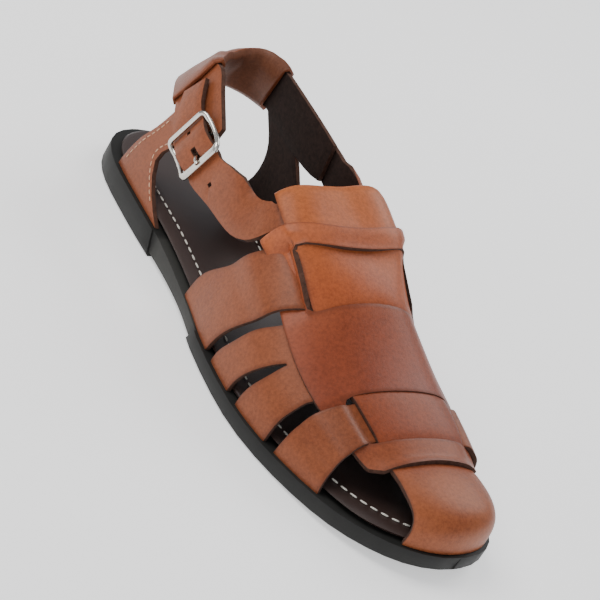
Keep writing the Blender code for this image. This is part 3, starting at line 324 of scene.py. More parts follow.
LATERAL_LEG = (
    # height, back edge, front edge
    (0.145, 0.11, 0.278), (0.216, 0.11, 0.235), (0.36, 0.121, 0.189), (0.466, 0.135, 0.199),
    (0.59, 0.147, 0.225), (0.7, 0.155, 0.24),
)
MEDIAL_LEG = (
    # height, back edge, front edge
    (0.145, 0.15, 0.352), (0.27, 0.176, 0.335), (0.38, 0.191, 0.322), (0.49, 0.1955, 0.308),
    (0.56, 0.19, 0.303), (0.625, 0.175, 0.285), (0.72, 0.146, 0.262),
)

# Edges of the straps: share of the sole's length, share of the girth from the lateral side
FIRST_BACK = (
    (0.424, -0.02), (0.424, 0.0), (0.434, 0.05), (0.451, 0.085), (0.476, 0.13), (0.491, 0.175),
    (0.503, 0.215), (0.518, 0.268), (0.527, 0.316), (0.535, 0.4), (0.54, 0.5),
)
FIRST_FRONT = (
    (0.552, -0.02), (0.552, 0.0), (0.566, 0.06), (0.58, 0.1), (0.59, 0.13), (0.6025, 0.175),
    (0.6095, 0.215), (0.621, 0.268), (0.631, 0.316), (0.636, 0.4), (0.638, 0.5),
)
SECOND_BACK = (
    (0.576, -0.02), (0.577, 0.02), (0.589, 0.06), (0.599, 0.1), (0.612, 0.155), (0.629, 0.218),
    (0.64, 0.34),
)
SLIT_BACK = (
    (0.641, -0.02), (0.643, 0.02), (0.652, 0.07), (0.666, 0.13), (0.675, 0.17), (0.681, 0.197), (0.69, 0.34),
)
SLIT_FRONT = (
    (0.669, -0.02), (0.669, 0.02), (0.673, 0.07), (0.68, 0.13), (0.682, 0.17), (0.6835, 0.197),
    (0.694, 0.34),
)
SECOND_FRONT = (
    (0.745, -0.02), (0.745, 0.04), (0.744, 0.1), (0.745, 0.16), (0.745, 0.2), (0.749, 0.236), (0.75, 0.34),
)
THIRD_BACK = (
    (0.766, -0.02), (0.768, 0.04), (0.767, 0.1), (0.766, 0.16), (0.766, 0.22), (0.768, 0.3), (0.768, 0.5),
)
THIRD_FRONT = (
    (0.855, -0.02), (0.852, 0.04), (0.848, 0.1), (0.843, 0.16), (0.838, 0.22), (0.831, 0.3), (0.83, 0.5),
)
STRAP_FOOT = -0.015
SLIT_END = 0.197
SLIT_ROWS = 16
SLIT_COLUMN = 5
TONGUE_PATH = (
    # along, layers of leather off the last for the grain side
    (0.548, 0.08), (0.51, 0.06), (0.475, 0.06), (0.452, 0.14), (0.4425, 0.75), (0.4405, 1.7), (0.4425, 2.65),
    (0.451, 3.25), (0.475, 3.4), (0.51, 3.38), (0.528, 3.32), (0.54, 3.02), (0.55, 2.62), (0.562, 2.16),
    (0.582, 1.88), (0.61, 1.8), (0.634, 1.6), (0.65, 1.1), (0.67, 1.0), (0.7, 1.0), (0.735, 1.05),
    (0.757, 1.55), (0.775, 1.8), (0.8, 1.84), (0.822, 1.76), (0.838, 1.4), (0.855, 1.04), (0.885, 1.0),
    (0.92, 1.0), (0.955, 1.0), (0.985, 1.0), (1.005, 1.0), (1.0165, 1.0),
)
TONGUE_ROWS = 150
TONGUE_OUTSIDE = 40
TONGUE_SIDE = (
    # along, girth of its lateral edge
    (0.44, 0.3), (0.552, 0.3), (0.634, 0.31), (0.7, 0.322), (0.766, 0.334), (0.83, 0.336),
    (0.862, 0.33), (0.885, 0.323), (0.905, 0.305), (0.926, 0.287), (0.945, 0.262), (0.964, 0.22),
    (0.982, 0.168), (0.998, 0.09), (1.006, 0.03), (1.0165, 0.004),
)
MIDDLE_RUNG = (0.634, 0.7585)
TOE_RUNG_BACK = 0.833
LADDER_SIDE = (
    # along, girth of its lateral edge
    (0.5, 0.24), (0.546, 0.238), (0.565, 0.224), (0.634, 0.22), (0.7585, 0.22), (0.79, 0.232),
    (0.834, 0.24), (0.88, 0.252),
)
LADDER_LINES = (
    # girth, back rung's edges, middle rung's edges, toe rung's edges
    (0.236, 0.5, 0.524, *MIDDLE_RUNG, 0.836, 0.862),
    (0.262, 0.501, 0.529, *MIDDLE_RUNG, 0.834, 0.869),
    (0.3, 0.511, 0.543, *MIDDLE_RUNG, TOE_RUNG_BACK, 0.874),
    (0.4, 0.525, 0.556, *MIDDLE_RUNG, TOE_RUNG_BACK, 0.873),
    (0.5, 0.527, 0.559, *MIDDLE_RUNG, TOE_RUNG_BACK, 0.87),
)
# Rows of faces from each of those lines to the next: rung, window, rung, window, rung
LADDER_ROWS = (6, 6, 12, 6, 5)
LADDER_WINDOWS = (1, 3)
# Columns over a rail, as shares of its width, and over the rungs, as girths
RAIL_SHARES = (0, 0.15, 0.5, 0.85)
RUNG_GIRTHS = (0.30, 0.305, 0.36, 0.43, 0.50, 0.57, 0.64, 0.695, 0.70)
RAIL_GIRTH = 0.302
BUCKLE_ALONG = (0.0, -0.975, -0.22)
FOLD_DROP = -1.9 * MM
FOLD_LIFT = 3.6 * MM

# Where the instep strap lies in the fold, and which way the faces of the heel leather look
INSTEP_STRAP_LAYERS = 1.7
LIFT_FADE = (4 * MM, 9 * MM)
AXIS_HEIGHT = -20 * MM
ANKLE_CENTRE = 100 * MM
ANKLE_FLAT = (8 * MM, 105 * MM)
INSTEP_TURN = (18 * MM, 42 * MM)

# Seams of the heel strap's legs
LEG_SEAM_HEIGHTS = (17 * MM, 52 * MM)
LEG_SEAM_SETBACK = 3 * MM
# pitch, length, radius of the thread
LEG_STITCH = (3.4 * MM, 2.4 * MM, 0.32 * MM)

# Camera and lights, in degrees, metres and watts
CAMERA_ANGLES = (-47.417, 27.746, 31.656)
CAMERA_PLACE = (-0.61693, -0.57007, 0.47078)
CAMERA_LENS = 128.2
LIGHT_TARGET = (0, 0, 0.03)
LIGHTS = (
    # name, place, size, power, colour
    ("key_light", (-0.55, 0.35, 0.95), 0.7, 8.5, (1.0, 0.98, 0.95)),
    ("fill_light", (-0.6, -0.9, 0.6), 0.9, 2.4, (0.97, 0.98, 1.0)),
    ("rim_light", (0.8, 0.2, 0.7), 0.6, 4.5, (1.0, 1.0, 1.0)),
)


def linear(red, green, blue):
    """Scene colour of a colour given as it looks on screen, 0 to 255."""
    shares = (red / 255, green / 255, blue / 255)
    return tuple(c / 12.92 if c <= 10 / 255 else ((c + 0.055) / 1.055) ** 2.4 for c in shares)


def length_setting(name, description, default, low, high):
    """A length in the panel; low and high in millimetres."""
    return bpy.props.FloatProperty(name=name, description=description, default=default, min=low * MM,
                                   max=high * MM, unit="LENGTH", precision=4)


def colour_setting(name, description, default):
    """A colour in the panel."""
    return bpy.props.FloatVectorProperty(name=name, description=description, default=default,
                                         subtype="COLOR", min=0, max=1)


class SandalSizes(bpy.types.PropertyGroup):
    leather: length_setting("Leather", "Thickness of the straps", LEATHER, 1, 4)
    edge_round: length_setting("Edge rounding", "Radius of a cut leather edge", 0.45 * MM, 0.1, 1)
    stitch_pitch: length_setting("Stitch pitch", "Way from one footbed stitch to the next", 5.0 * MM, 2, 10)
    stitch_length: length_setting("Stitch length", "Length of one footbed stitch", 3.6 * MM, 1, 8)
    thread: length_setting("Thread", "Radius of the footbed's thread", 0.50 * MM, 0.1, 1)
    stitch_setback: length_setting("Stitch setback", "From sole's edge to footbed stitches", 12 * MM, 5, 20)


class SandalColours(bpy.types.PropertyGroup):
    strap: colour_setting("Straps", "Colour of the waxed strap leather", (0.245, 0.070, 0.028))
    strap_dark: colour_setting("Strap shade", "Darker clouds in the strap leather", (0.170, 0.042, 0.017))
    lining: colour_setting("Lining", "Colour of the straps' inner side", (0.026, 0.014, 0.011))
    raw_edge: colour_setting("Cut edge", "Colour of the cut leather edges", (0.080, 0.038, 0.026))
    footbed: colour_setting("Footbed", "Colour of the footbed leather", (0.044, 0.025, 0.021))
    rubber: colour_setting("Rubber", "Colour of the sole's rubber", (0.011, 0.0108, 0.0098))
    thread: colour_setting("Thread", "Colour of the footbed's thread", linear(235, 230, 218))
    metal: colour_setting("Buckle", "Colour of the buckle's plating", linear(214, 210, 202))


def sizes():
    return bpy.context.scene.sandal_sizes


def colours():
    return bpy.context.scene.sandal_colours


# Materials

def shade(color, factor, more=0.0):
    """A colour scaled and raised, at most white."""
    return tuple(min(1, c * factor + more) for c in color)


class Nodes:
    """Short hand for one material's nodes."""

    def __init__(self, name):
        self.mat = bpy.data.materials.new(name)
        self.mat.use_nodes = True
        self.tree = self.mat.node_tree
        self.shader = self.tree.nodes["Principled BSDF"]

    def add(self, kind, **values):
        node = self.tree.nodes.new(kind)
        for key, value in values.items():
            if key in node.inputs:
                node.inputs[key].default_value = value
            else:
                setattr(node, key, value)
        return node

    def link(self, source, target):
        self.tree.links.new(source, target)

    def put(self, value, socket):
        """Links a socket, or sets a number or colour."""
        if isinstance(value, bpy.types.NodeSocket):
            self.link(value, socket)
        elif isinstance(value, (int, float)):
            socket.default_value = value
        else:
            socket.default_value = (*value, 1)

    def place(self):
        return self.add("ShaderNodeTexCoord").outputs["Object"]

    def place_y(self):
        """Place along the sandal, toe at -Y."""
        node = self.add("ShaderNodeSeparateXYZ")
        self.link(self.place(), node.inputs["Vector"])
        return node.outputs["Y"]

    def noise(self, scale, detail=3.0, rough=0.5, stretch=None):
        place = self.place()
        if stretch:
            mapping = self.add("ShaderNodeMapping")
            mapping.inputs["Scale"].default_value = stretch
            self.link(place, mapping.inputs["Vector"])
            place = mapping.outputs["Vector"]
        node = self.add("ShaderNodeTexNoise", Scale=scale, Detail=detail, Roughness=rough)
        self.link(place, node.inputs["Vector"])
        return node.outputs["Fac"]

    def cells(self, scale):
        node = self.add("ShaderNodeTexVoronoi", Scale=scale)
        node.feature = "DISTANCE_TO_EDGE"
        self.link(self.place(), node.inputs["Vector"])
        return node.outputs["Distance"]

    def ramp(self, source, stops):
        node = self.add("ShaderNodeValToRGB")
        elements = node.color_ramp.elements
        while len(elements) < len(stops):
            elements.new(0.5)
        for element, (place, color) in zip(elements, stops):
            element.position = place
            element.color = (*color, 1) if len(color) == 3 else color
        self.link(source, node.inputs["Fac"])
        return node.outputs["Color"]

    def span(self, source, low, high, start=0.0, end=1.0):
        node = self.add("ShaderNodeMapRange")
        for key, value in (("From Min", start), ("From Max", end), ("To Min", low), ("To Max", high)):
            node.inputs[key].default_value = value
        self.link(source, node.inputs["Value"])
        return node.outputs["Result"]

    def mix(self, factor, first, second, mode="MIX"):
        node = self.add("ShaderNodeMix", data_type="RGBA", blend_type=mode)
        sockets = [s for s in node.inputs if s.type == "RGBA"]
        for value, socket in zip((factor, first, second), (node.inputs[0], *sockets)):
            self.put(value, socket)
        return [s for s in node.outputs if s.type == "RGBA"][0]

    def math(self, operation, first, second):
        node = self.add("ShaderNodeMath", operation=operation)
        self.put(first, node.inputs[0])
        self.put(second, node.inputs[1])
        return node.outputs[0]

    def bump(self, height, distance, strength=1.0, under=None):
        node = self.add("ShaderNodeBump", Strength=strength, Distance=distance)
        self.link(height, node.inputs["Height"])
        if under is not None:
            self.link(under, node.inputs["Normal"])
        return node.outputs["Normal"]

    def set(self, **values):
        for key, value in values.items():
            self.put(value, self.shader.inputs[key.replace("_", " ")])


def rim_burnish_and_painted_shade(nodes, color, dark, share):
    """Darkens a colour towards the cut edges, by the mesh's own edge attribute: partly the edges' burnished
    colour, partly painted shadow along them.
    """
    edge = nodes.add("ShaderNodeAttribute", attribute_name="edge").outputs["Fac"]
    return nodes.mix(nodes.span(edge, 0.0, share, 0.35, 1.0), color, dark)


def waxed_leather(name, color, dark, gloss=0.40, painted_light_bands=None):
    """Waxed strap leather: cloudy colour, fine grain, faint scuffs; painted light and shade along the sandal,
    where given, multiplies its colour.
    """
    nodes = Nodes(name)
    clouds = nodes.noise(38, 4, 0.55)
    fine = nodes.noise(620, 4, 0.75)
    base = nodes.ramp(clouds, ((0.28, dark), (0.50, color), (0.76, shade(color, 1.22, 0.012))))
    speck = nodes.ramp(fine, ((0.34, shade(color, 0.62)), (0.62, shade(color, 1.28))))
    base = nodes.mix(0.5, base, speck)
    scuff = nodes.noise(90, 6, 0.75, (1, 0.25, 1))
    base = nodes.mix(nodes.span(scuff, 0, 0.5, 0.66, 0.80), base, shade(color, 1.35, 0.03))
    # painted light and shade: the colour is multiplied lighter and darker by place along the sandal
    if painted_light_bands:
        low, high = -150, 40
        along = nodes.span(nodes.place_y(), 0, 1, low * MM, high * MM)
        painted_light_factor = nodes.ramp(along, [((y - low) / (high - low), tone) for y, tone in painted_light_bands])
        base = nodes.mix(1.0, base, painted_light_factor, "MULTIPLY")
    # darker cut edges: partly their burnished colour, partly painted shadow along them
    base = rim_burnish_and_painted_shade(nodes, base, shade(dark, 0.55), 0.55)
    grain = nodes.span(nodes.cells(1100), 0, 1, 0, 0.12)
    bumps = nodes.bump(grain, 0.05 * MM, 0.35)
    bumps = nodes.bump(nodes.noise(130, 5, 0.6), 0.30 * MM, 0.55, bumps)
    worn = nodes.span(scuff, 0, 0.14, 0.6, 0.85)
    rough = nodes.math("ADD", nodes.span(clouds, gloss - 0.06, gloss + 0.12), worn)
    nodes.set(Base_Color=base, Roughness=rough, Normal=bumps, Coat_Weight=0.06, Coat_Roughness=0.25,
              Specular_IOR_Level=0.22)
    return nodes.mat


def suede_side(name, color):
    """Fleshy inner side of leather, or a cut edge."""
    nodes = Nodes(name)
    fibres = nodes.noise(420, 5, 0.7)
    base = nodes.ramp(fibres, ((0.30, shade(color, 0.60)), (0.70, shade(color, 1.35))))
    nodes.set(Base_Color=base, Roughness=0.86, Normal=nodes.bump(fibres, 0.15 * MM, 0.6),
              Specular_IOR_Level=0.12, Sheen_Weight=0.04)
    return nodes.mat


def footbed_leather(name, color):
    """Smooth waxed footbed with faint wear."""
    nodes = Nodes(name)
    clouds = nodes.noise(22, 5, 0.6)
    wear = nodes.noise(160, 5, 0.7)
    base = nodes.ramp(clouds, ((0.25, shade(color, 0.72)), (0.55, color), (0.8, shade(color, 1.5))))
    base = nodes.mix(nodes.span(wear, 0, 0.35, 0.62, 0.8), base, shade(color, 1.9, 0.01))
    bumps = nodes.bump(nodes.span(nodes.cells(900), 0, 1, 0, 0.15), 0.05 * MM, 0.4)
    bumps = nodes.bump(nodes.noise(75, 4, 0.6), 0.35 * MM, 0.4, bumps)
    nodes.set(Base_Color=base, Roughness=nodes.span(clouds, 0.34, 0.52), Normal=bumps, Coat_Weight=0.22,
              Coat_Roughness=0.28)
    return nodes.mat


def sole_rubber(name, color):
    """Matte rubber, smoother and greyer at the waist between heel and forefoot."""
    nodes = Nodes(name)
    along = nodes.place_y()
    back = nodes.span(along, 1, 0, 57 * MM, 60 * MM)
    front = nodes.span(along, 0, 1, 0, 3 * MM)
    waist = nodes.math("MULTIPLY", back, front)
    dust = nodes.noise(60, 6, 0.65)
    base = nodes.ramp(dust, ((0.35, shade(color, 0.8)), (0.7, shade(color, 1.5))))
    base = nodes.mix(waist, base, shade(color, 3.4))
    grain = nodes.noise(700, 4, 0.6)
    nodes.set(Base_Color=base, Roughness=nodes.span(dust, 0.50, 0.68),
              Normal=nodes.bump(grain, 0.10 * MM, 0.35), Specular_IOR_Level=0.30)
    return nodes.mat


def plated_metal(name, color):
    nodes = Nodes(name)
    rub = nodes.noise(220, 5, 0.7)
    base = nodes.ramp(rub, ((0.3, shade(color, 0.80)), (0.6, color)))
    nodes.set(Base_Color=base, Metallic=1.0, Roughness=nodes.span(rub, 0.14, 0.34, 0.35, 0.75),
              Normal=nodes.bump(rub, 0.05 * MM, 0.2))
    return nodes.mat


def thread_finish(name, color):
    nodes = Nodes(name)
    twist = nodes.add("ShaderNodeTexWave", Scale=420.0, Distortion=1.5)
    nodes.link(nodes.place(), twist.inputs["Vector"])
    base = nodes.ramp(twist.outputs["Fac"], ((0.0, shade(color, 0.78)), (0.6, color)))
    nodes.set(Base_Color=base, Roughness=0.62, Normal=nodes.bump(twist.outputs["Fac"], 0.08 * MM, 0.5),
              Sheen_Weight=0.2)
    return nodes.mat


# Painted light and shade along the sandal, as factors on the strap colour, in millimetres of the frame's Y:
# lighter towards the fold, where the light falls, and darker between
CENTRE_PAINTED_LIGHT = (
    (-150, (1.25, 1.25, 1.15)), (-118, (1.25, 1.22, 1.12)), (-98, (0.95, 0.66, 0.5)),
    (-60, (1.0, 0.8, 0.7)), (-34, (1.55, 1.22, 0.9)), (-6, (1.65, 1.45, 1.0)),
    (20, (1.8, 1.75, 1.25)),
)
LADDER_PAINTED_LIGHT = (
    (-150, (1.1, 1.05, 1.0)), (-104, (1.05, 0.95, 0.9)), (-74, (0.9, 0.64, 0.62)),
    (-56, (1.0, 0.74, 0.72)), (-38, (1.15, 0.92, 0.85)), (-16, (1.5, 1.3, 1.1)),
    (5, (1.75, 1.55, 1.25)),
)
FINISHES = {}


def finish_of(key):
    """One of the sandal's finishes, made when it is first asked for."""
    if key not in FINISHES:
        hue = colours()
        strap, dark = hue.strap, hue.strap_dark
        recipes = {
            "strap": (waxed_leather, "waxed_strap_leather", strap, dark),
            # the centre and ladder straps' finishes have painted light and shade along the sandal
            "strap_painted_light_centre": (waxed_leather, "centre_strap_leather", strap, dark, 0.40, CENTRE_PAINTED_LIGHT),
            "strap_painted_light_ladder": (waxed_leather, "ladder_strap_leather", strap, dark, 0.38, LADDER_PAINTED_LIGHT),
            "sleeve": (waxed_leather, "sleeve_leather", shade(strap, 0.86), shade(dark, 0.8), 0.42),
            "sleeve_inside": (waxed_leather, "sleeve_inside_leather", linear(112, 68, 48),
                              linear(84, 50, 38), 0.5),
            "lining": (suede_side, "strap_lining", hue.lining),
            "edge": (suede_side, "cut_leather_edge", hue.raw_edge),
            "footbed": (footbed_leather, "footbed_leather", hue.footbed),
            "rubber": (sole_rubber, "moulded_sole_rubber", hue.rubber),
            "metal": (plated_metal, "nickel_plate", hue.metal),
            "thread": (thread_finish, "white_linen_thread", hue.thread),
            "tan_thread": (thread_finish, "light_linen_thread", linear(214, 170, 136)),
        }
        make, *values = recipes[key]
        FINISHES[key] = make(*values)
    return FINISHES[key]


# Modelling

def deselect():
    if bpy.context.object and bpy.context.object.mode != "OBJECT":
        bpy.ops.object.mode_set(mode="OBJECT")
    bpy.ops.object.select_all(action="DESELECT")


def make_active(obj):
    deselect()
    obj.select_set(True)
    bpy.context.view_layer.objects.active = obj


def select_all(action="SELECT"):
    bpy.ops.mesh.select_all(action=action)


def edit(obj, *steps):
    """Takes mesh steps on a piece in edit mode."""
    make_active(obj)
    bpy.ops.object.mode_set(mode="EDIT")
    for step in steps:
        step()
    bpy.ops.object.mode_set(mode="OBJECT")


def apply_modifiers(obj):
    make_active(obj)
    for mod in list(obj.modifiers):
        bpy.ops.object.modifier_apply(modifier=mod.name)


def grid_piece(name, points, rims):
    """A primitive grid with its vertices laid on rows and columns of points; rims mark its cut edges."""
    rows, cols = points.shape[:2]
    deselect()
    bpy.ops.mesh.primitive_grid_add(x_subdivisions=cols - 1, y_subdivisions=rows - 1, size=1)
    obj = bpy.context.object
    obj.name = name
    obj.data.name = name
    obj.data.vertices.foreach_set("co", points.reshape(-1, 3).astype(np.float32).ravel())
    attribute = obj.data.attributes.new("edge", "FLOAT", "POINT")
    attribute.data.foreach_set("value", rims.ravel().astype(np.float32))
    obj.data.update()
    return obj


def delete_faces(obj, chosen):
    """Deletes the faces whose index the test picks; a grid's faces are numbered row by row."""
    edit(obj, lambda: bpy.ops.mesh.select_mode(type="FACE"), lambda: select_all("DESELECT"))
    for poly in obj.data.polygons:
        poly.select = bool(chosen(poly.index))
    edit(obj, lambda: bpy.ops.mesh.delete(type="FACE"))


def add_bevel(obj, width, degrees):
    bevel = obj.modifiers.new("cut_edge", "BEVEL")
    bevel.width = width
    bevel.segments = 2
    bevel.limit_method = "ANGLE"
    bevel.angle_limit = math.radians(degrees)


def soften(obj, levels):
    sub = obj.modifiers.new("soften", "SUBSURF")
    sub.levels = sub.render_levels = levels


def side_rims(shape):
    """Edge shares of a grid of points: 1 along its first and last column."""
    rims = np.zeros(shape)
    rims[:, 0] = rims[:, -1] = 1
    return rims


def leather_from_sheet(obj, outward, side, top="strap", levels=1):
    """Makes a sheet one of the vamp's straps, with thickness, cut edges and lining.

    Side 1 grows it outward and -1 inward.
    """
    for key in (top, "lining", "edge"):
        obj.data.materials.append(finish_of(key))
    total = 0.0
    for poly in obj.data.polygons:
        total += poly.area * float(np.dot(poly.normal, outward(np.array(poly.center))))
    if total < 0:
        edit(obj, select_all, bpy.ops.mesh.flip_normals)
    if levels:
        soften(obj, levels)
    solid = obj.modifiers.new("thickness", "SOLIDIFY")
    solid.thickness = sizes().leather
    solid.offset = side
    solid.use_even_offset = False
    solid.material_offset = 1
    solid.material_offset_rim = 2
    add_bevel(obj, sizes().edge_round, 50)
    apply_modifiers(obj)
    bpy.ops.object.shade_smooth_by_angle(angle=math.radians(42))
    hand_over(obj, "strap_leather", "vamp")


def hand_over(obj, slot, *nodes):
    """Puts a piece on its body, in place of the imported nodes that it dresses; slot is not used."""
    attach(obj, BODY)
    if nodes:
        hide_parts(*nodes)


def from_axis(point):
    """Direction away from the foot's long axis."""
    way = np.array((point[0], 0.0, point[2] - AXIS_HEIGHT))
    return way / np.linalg.norm(way)


def across_line(points, girths):
    """Place along the foot of a strap's edge, at the given girths."""
    pts = spline(points, 90)
    order = np.argsort(pts[:, 1])
    return np.interp(girths, pts[order, 1], pts[order, 0])


def over_rail(half):
    """Layers under a cross strap, which rides over the ladder strap's rail and dives back down beside it."""
    down = 1 - ease(0.13, 0.205, half) + ease(0.272, 0.316, half)
    return np.clip(1 - down, 0, 1)


def crossing_strap(name, back, front):
    """A strap across the whole foot, over the ladder strap's rails and under the centre strap."""
    half = np.concatenate([np.linspace(STRAP_FOOT, 0.12, 10)[:-1], np.linspace(0.12, 0.34, 20), (0.42, 0.5)])
    u = np.concatenate([half, 1 - half[::-1][1:]])
    mirror = np.minimum(u, 1 - u)
    a = between(across_line(back, mirror), across_line(front, mirror), 9)
    girth = np.broadcast_to(u[:, None], a.shape)
    points = on_last(a * SOLE_LENGTH, girth, over_rail(mirror)[:, None] * LEATHER)
    obj = grid_piece(name, points, side_rims(a.shape))
    leather_from_sheet(obj, from_axis, 1)


def split_strap(side):
    """One side's part of the second strap, whose slit ends before the ladder strap's rail."""
    u = np.concatenate([np.linspace(STRAP_FOOT, SLIT_END, SLIT_ROWS), np.linspace(0.205, 0.335, 8)])
    lines = [across_line(edge, u) for edge in (SECOND_BACK, SLIT_BACK, SLIT_FRONT, SECOND_FRONT)]
    columns = []
    for back, front in (lines[:2], lines[2:]):
        columns += [back + (front - back) * k / SLIT_COLUMN for k in range(SLIT_COLUMN)]
        columns.append(front)
    a = np.stack(columns, -1)
    girth = np.broadcast_to(u[:, None], a.shape)
    points = on_last(a * SOLE_LENGTH, 1 - girth if side == "medial" else girth, 0.0)
    rims = side_rims(a.shape)
    rims[:SLIT_ROWS, SLIT_COLUMN:SLIT_COLUMN + 2] = 1
    obj = grid_piece("cross_strap_split_" + side, points, rims)
    across = a.shape[1] - 1
    delete_faces(obj, lambda index: index % across == SLIT_COLUMN and index // across < SLIT_ROWS - 1)
    leather_from_sheet(obj, from_axis, 1)


def fold_flatten(a, u):
    """Height to add by the centre strap's fold, which lies flatter across the instep than the last."""
    from_middle = np.abs(u - 0.5)
    height = FOLD_DROP + (FOLD_LIFT - FOLD_DROP) * ease(0.02, 0.20, from_middle)
    return height * (1 - ease(0.20, 0.29, from_middle)) * (1 - ease(0.545, 0.625, a))


def ladder_layers(a, half):
    """Layers of leather under the ladder strap, by share of the length and girth from the nearer side."""
    over_fold = 3.40 - 1.05 * ease(0.524, 0.560, a)
    back_end = 1.95 * (1 - ease(0.508, 0.530, a))
    back_rung = back_end + (over_fold - back_end) * ease(0.25, 0.31, half)
    first_rail = back_end + 0.55 * ease(0.615, 0.645, a)
    middle_rung = 1.0 - 0.45 * (1 - ease(0.312, 0.334, half))
    second_rail = 0.55 * (1 - ease(0.752, 0.768, a))
    toe_rung = 0.05 + 0.98 * ease(0.28, 0.38, half)
    on_rail = (a >= 0.53) & (half < RAIL_GIRTH)
    back = np.where(on_rail, np.minimum(back_rung, first_rail), back_rung)
    front = np.where(a < TOE_RUNG_BACK, second_rail, toe_rung)
    return np.where(a < MIDDLE_RUNG[0], back, np.where(a > MIDDLE_RUNG[1], front, middle_rung))


def ladder_grid(rows, columns):
    """Share of the length and girth of each point of the ladder strap."""
    lines = np.array(LADDER_LINES)
    side = np.array(LADDER_SIDE)
    a = np.zeros((len(rows), len(columns)))
    u = np.zeros_like(a)
    for i, (start, end, k) in enumerate(rows):
        for j, (zone, value) in enumerate(columns):
            # the edges depend on the girth and the girth on the edges, which three rounds settle
            girth = 0.26
            for _ in range(3):
                near = min(girth, 1 - girth)
                edges = [np.interp(near, lines[:, 0], lines[:, 1 + n]) for n in (start, end)]
                along = edges[0] + (edges[1] - edges[0]) * k
                outer = np.interp(along, side[:, 0], side[:, 1])
                girth = value if zone == "rungs" else outer + (RUNG_GIRTHS[0] - outer) * value
                if zone == "medial rail":
                    girth = 1 - girth
            a[i, j], u[i, j] = along, girth
    return a, u


class SANDAL_OT_cross_straps(bpy.types.Operator):
    """First, second and third straps across the foot"""
    bl_idname = "sandal.cross_straps"
    bl_label = "Cross straps"

    def execute(self, context):
        crossing_strap("cross_strap_instep", FIRST_BACK, FIRST_FRONT)
        crossing_strap("cross_strap_toe", THIRD_BACK, THIRD_FRONT)
        for side in ("lateral", "medial"):
            split_strap(side)
        return {"FINISHED"}


class SANDAL_OT_centre_strap(bpy.types.Operator):
    """Centre strap from its fold round the instep strap to the toe"""
    bl_idname = "sandal.centre_strap"
    bl_label = "Centre strap"

    def execute(self, context):
        path = np.array(TONGUE_PATH) * np.array((SOLE_LENGTH, LEATHER))
        dense = spline(path * 1000, TONGUE_ROWS) / 1000
        side = np.array(TONGUE_SIDE)
        edge = np.interp(dense[:, 0] / SOLE_LENGTH, side[:, 0], side[:, 1])
        smooth = np.convolve(np.pad(edge, 2, mode="edge"), np.full(5, 0.2), "valid")
        girth = between(smooth, 1 - smooth, 25)
        v = np.broadcast_to(dense[:, :1], girth.shape)
        off = np.broadcast_to(dense[:, 1:], girth.shape)
        points = on_last(v, girth, off)
        points[..., 2] += fold_flatten(v / SOLE_LENGTH, girth)
        rims = side_rims(girth.shape)
        rims[0] = 1
        obj = grid_piece("centre_strap", points, rims)

        def outward(point):
            """Away from the axis in front of the fold; the folded rows face both ways and don't count."""
            row = np.argmin(np.sum((points.reshape(-1, 3) - point) ** 2, axis=1)) // girth.shape[1]
            return from_axis(point) if row > TONGUE_OUTSIDE else from_axis(point) * 0

        # its finish has painted light and shade along the strap
        leather_from_sheet(obj, outward, -1, "strap_painted_light_centre", 0)
        return {"FINISHED"}


class SANDAL_OT_ladder_strap(bpy.types.Operator):
    """Ladder strap: three rungs over the centre strap, joined by rails"""
    bl_idname = "sandal.ladder_strap"
    bl_label = "Ladder strap"

    def execute(self, context):
        rows = [(line, line + 1, k / count) for line, count in enumerate(LADDER_ROWS) for k in range(count)]
        last_line = len(LADDER_ROWS)
        rows.append((last_line, last_line, 0.0))
        columns = [("lateral rail", share) for share in RAIL_SHARES]
        columns += [("rungs", girth) for girth in RUNG_GIRTHS]
        columns += [("medial rail", share) for share in reversed(RAIL_SHARES)]
        a, u = ladder_grid(rows, columns)
        half = np.minimum(u, 1 - u)
        points = on_last(a * SOLE_LENGTH, u, ladder_layers(a, half) * LEATHER)
        points[..., 2] += fold_flatten(a, u)
        rims = side_rims(a.shape)
        rail = len(RAIL_SHARES)
        for i, (start, end, k) in enumerate(rows):
            if k == 0:
                rims[i, rail:-rail] = 1
        obj = grid_piece("ladder_strap", points, rims)
        across = a.shape[1] - 1

        def in_window(index):
            row, column = divmod(index, across)
            return rows[row][0] in LADDER_WINDOWS and rail < column < across - rail - 1

        delete_faces(obj, in_window)
        # its finish has painted light and shade along the strap
        leather_from_sheet(obj, from_axis, 1, "strap_painted_light_ladder")
        return {"FINISHED"}


def dressed_copy(node, name, width, quads=True):
    """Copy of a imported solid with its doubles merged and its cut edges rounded."""
    obj = bpy.data.objects.new(name, frame["nodes"][node].data.copy())
    bpy.context.scene.collection.objects.link(obj)
    obj.data.name = name
    obj.data.materials.clear()
    edit(obj, select_all, lambda: bpy.ops.mesh.remove_doubles(threshold=0.01 * MM))
    if quads:
        flat, square = math.radians(30), math.radians(60)
        edit(obj, lambda: bpy.ops.mesh.tris_convert_to_quads(face_threshold=flat, shape_threshold=square))
    if width:
        add_bevel(obj, width, 48)
        apply_modifiers(obj)
    bpy.ops.object.shade_smooth_by_angle(angle=math.radians(45))
    return obj


def paint_by_side(obj, outward, top, inner="lining", rim="edge", limit=0.45):
    """Gives a sheet's outer face, inner face and cut edges their own finishes; cut edges are narrow."""
    for key in (top, inner, rim):
        obj.data.materials.append(finish_of(key))
    for poly in obj.data.polygons:
        facing = float(np.dot(poly.normal, outward(np.array(poly.center))))
        corners = [obj.data.vertices[index].co for index in poly.vertices]
        longest = max((a - b).length for a, b in zip(corners, corners[1:] + corners[:1]))
        width = poly.area * (2 if len(corners) == 3 else 1) / max(longest, 1e-9)
        side = 0 if facing > 0 else 1
        poly.material_index = side if abs(facing) > limit or width > 1.3 * LEATHER else 2


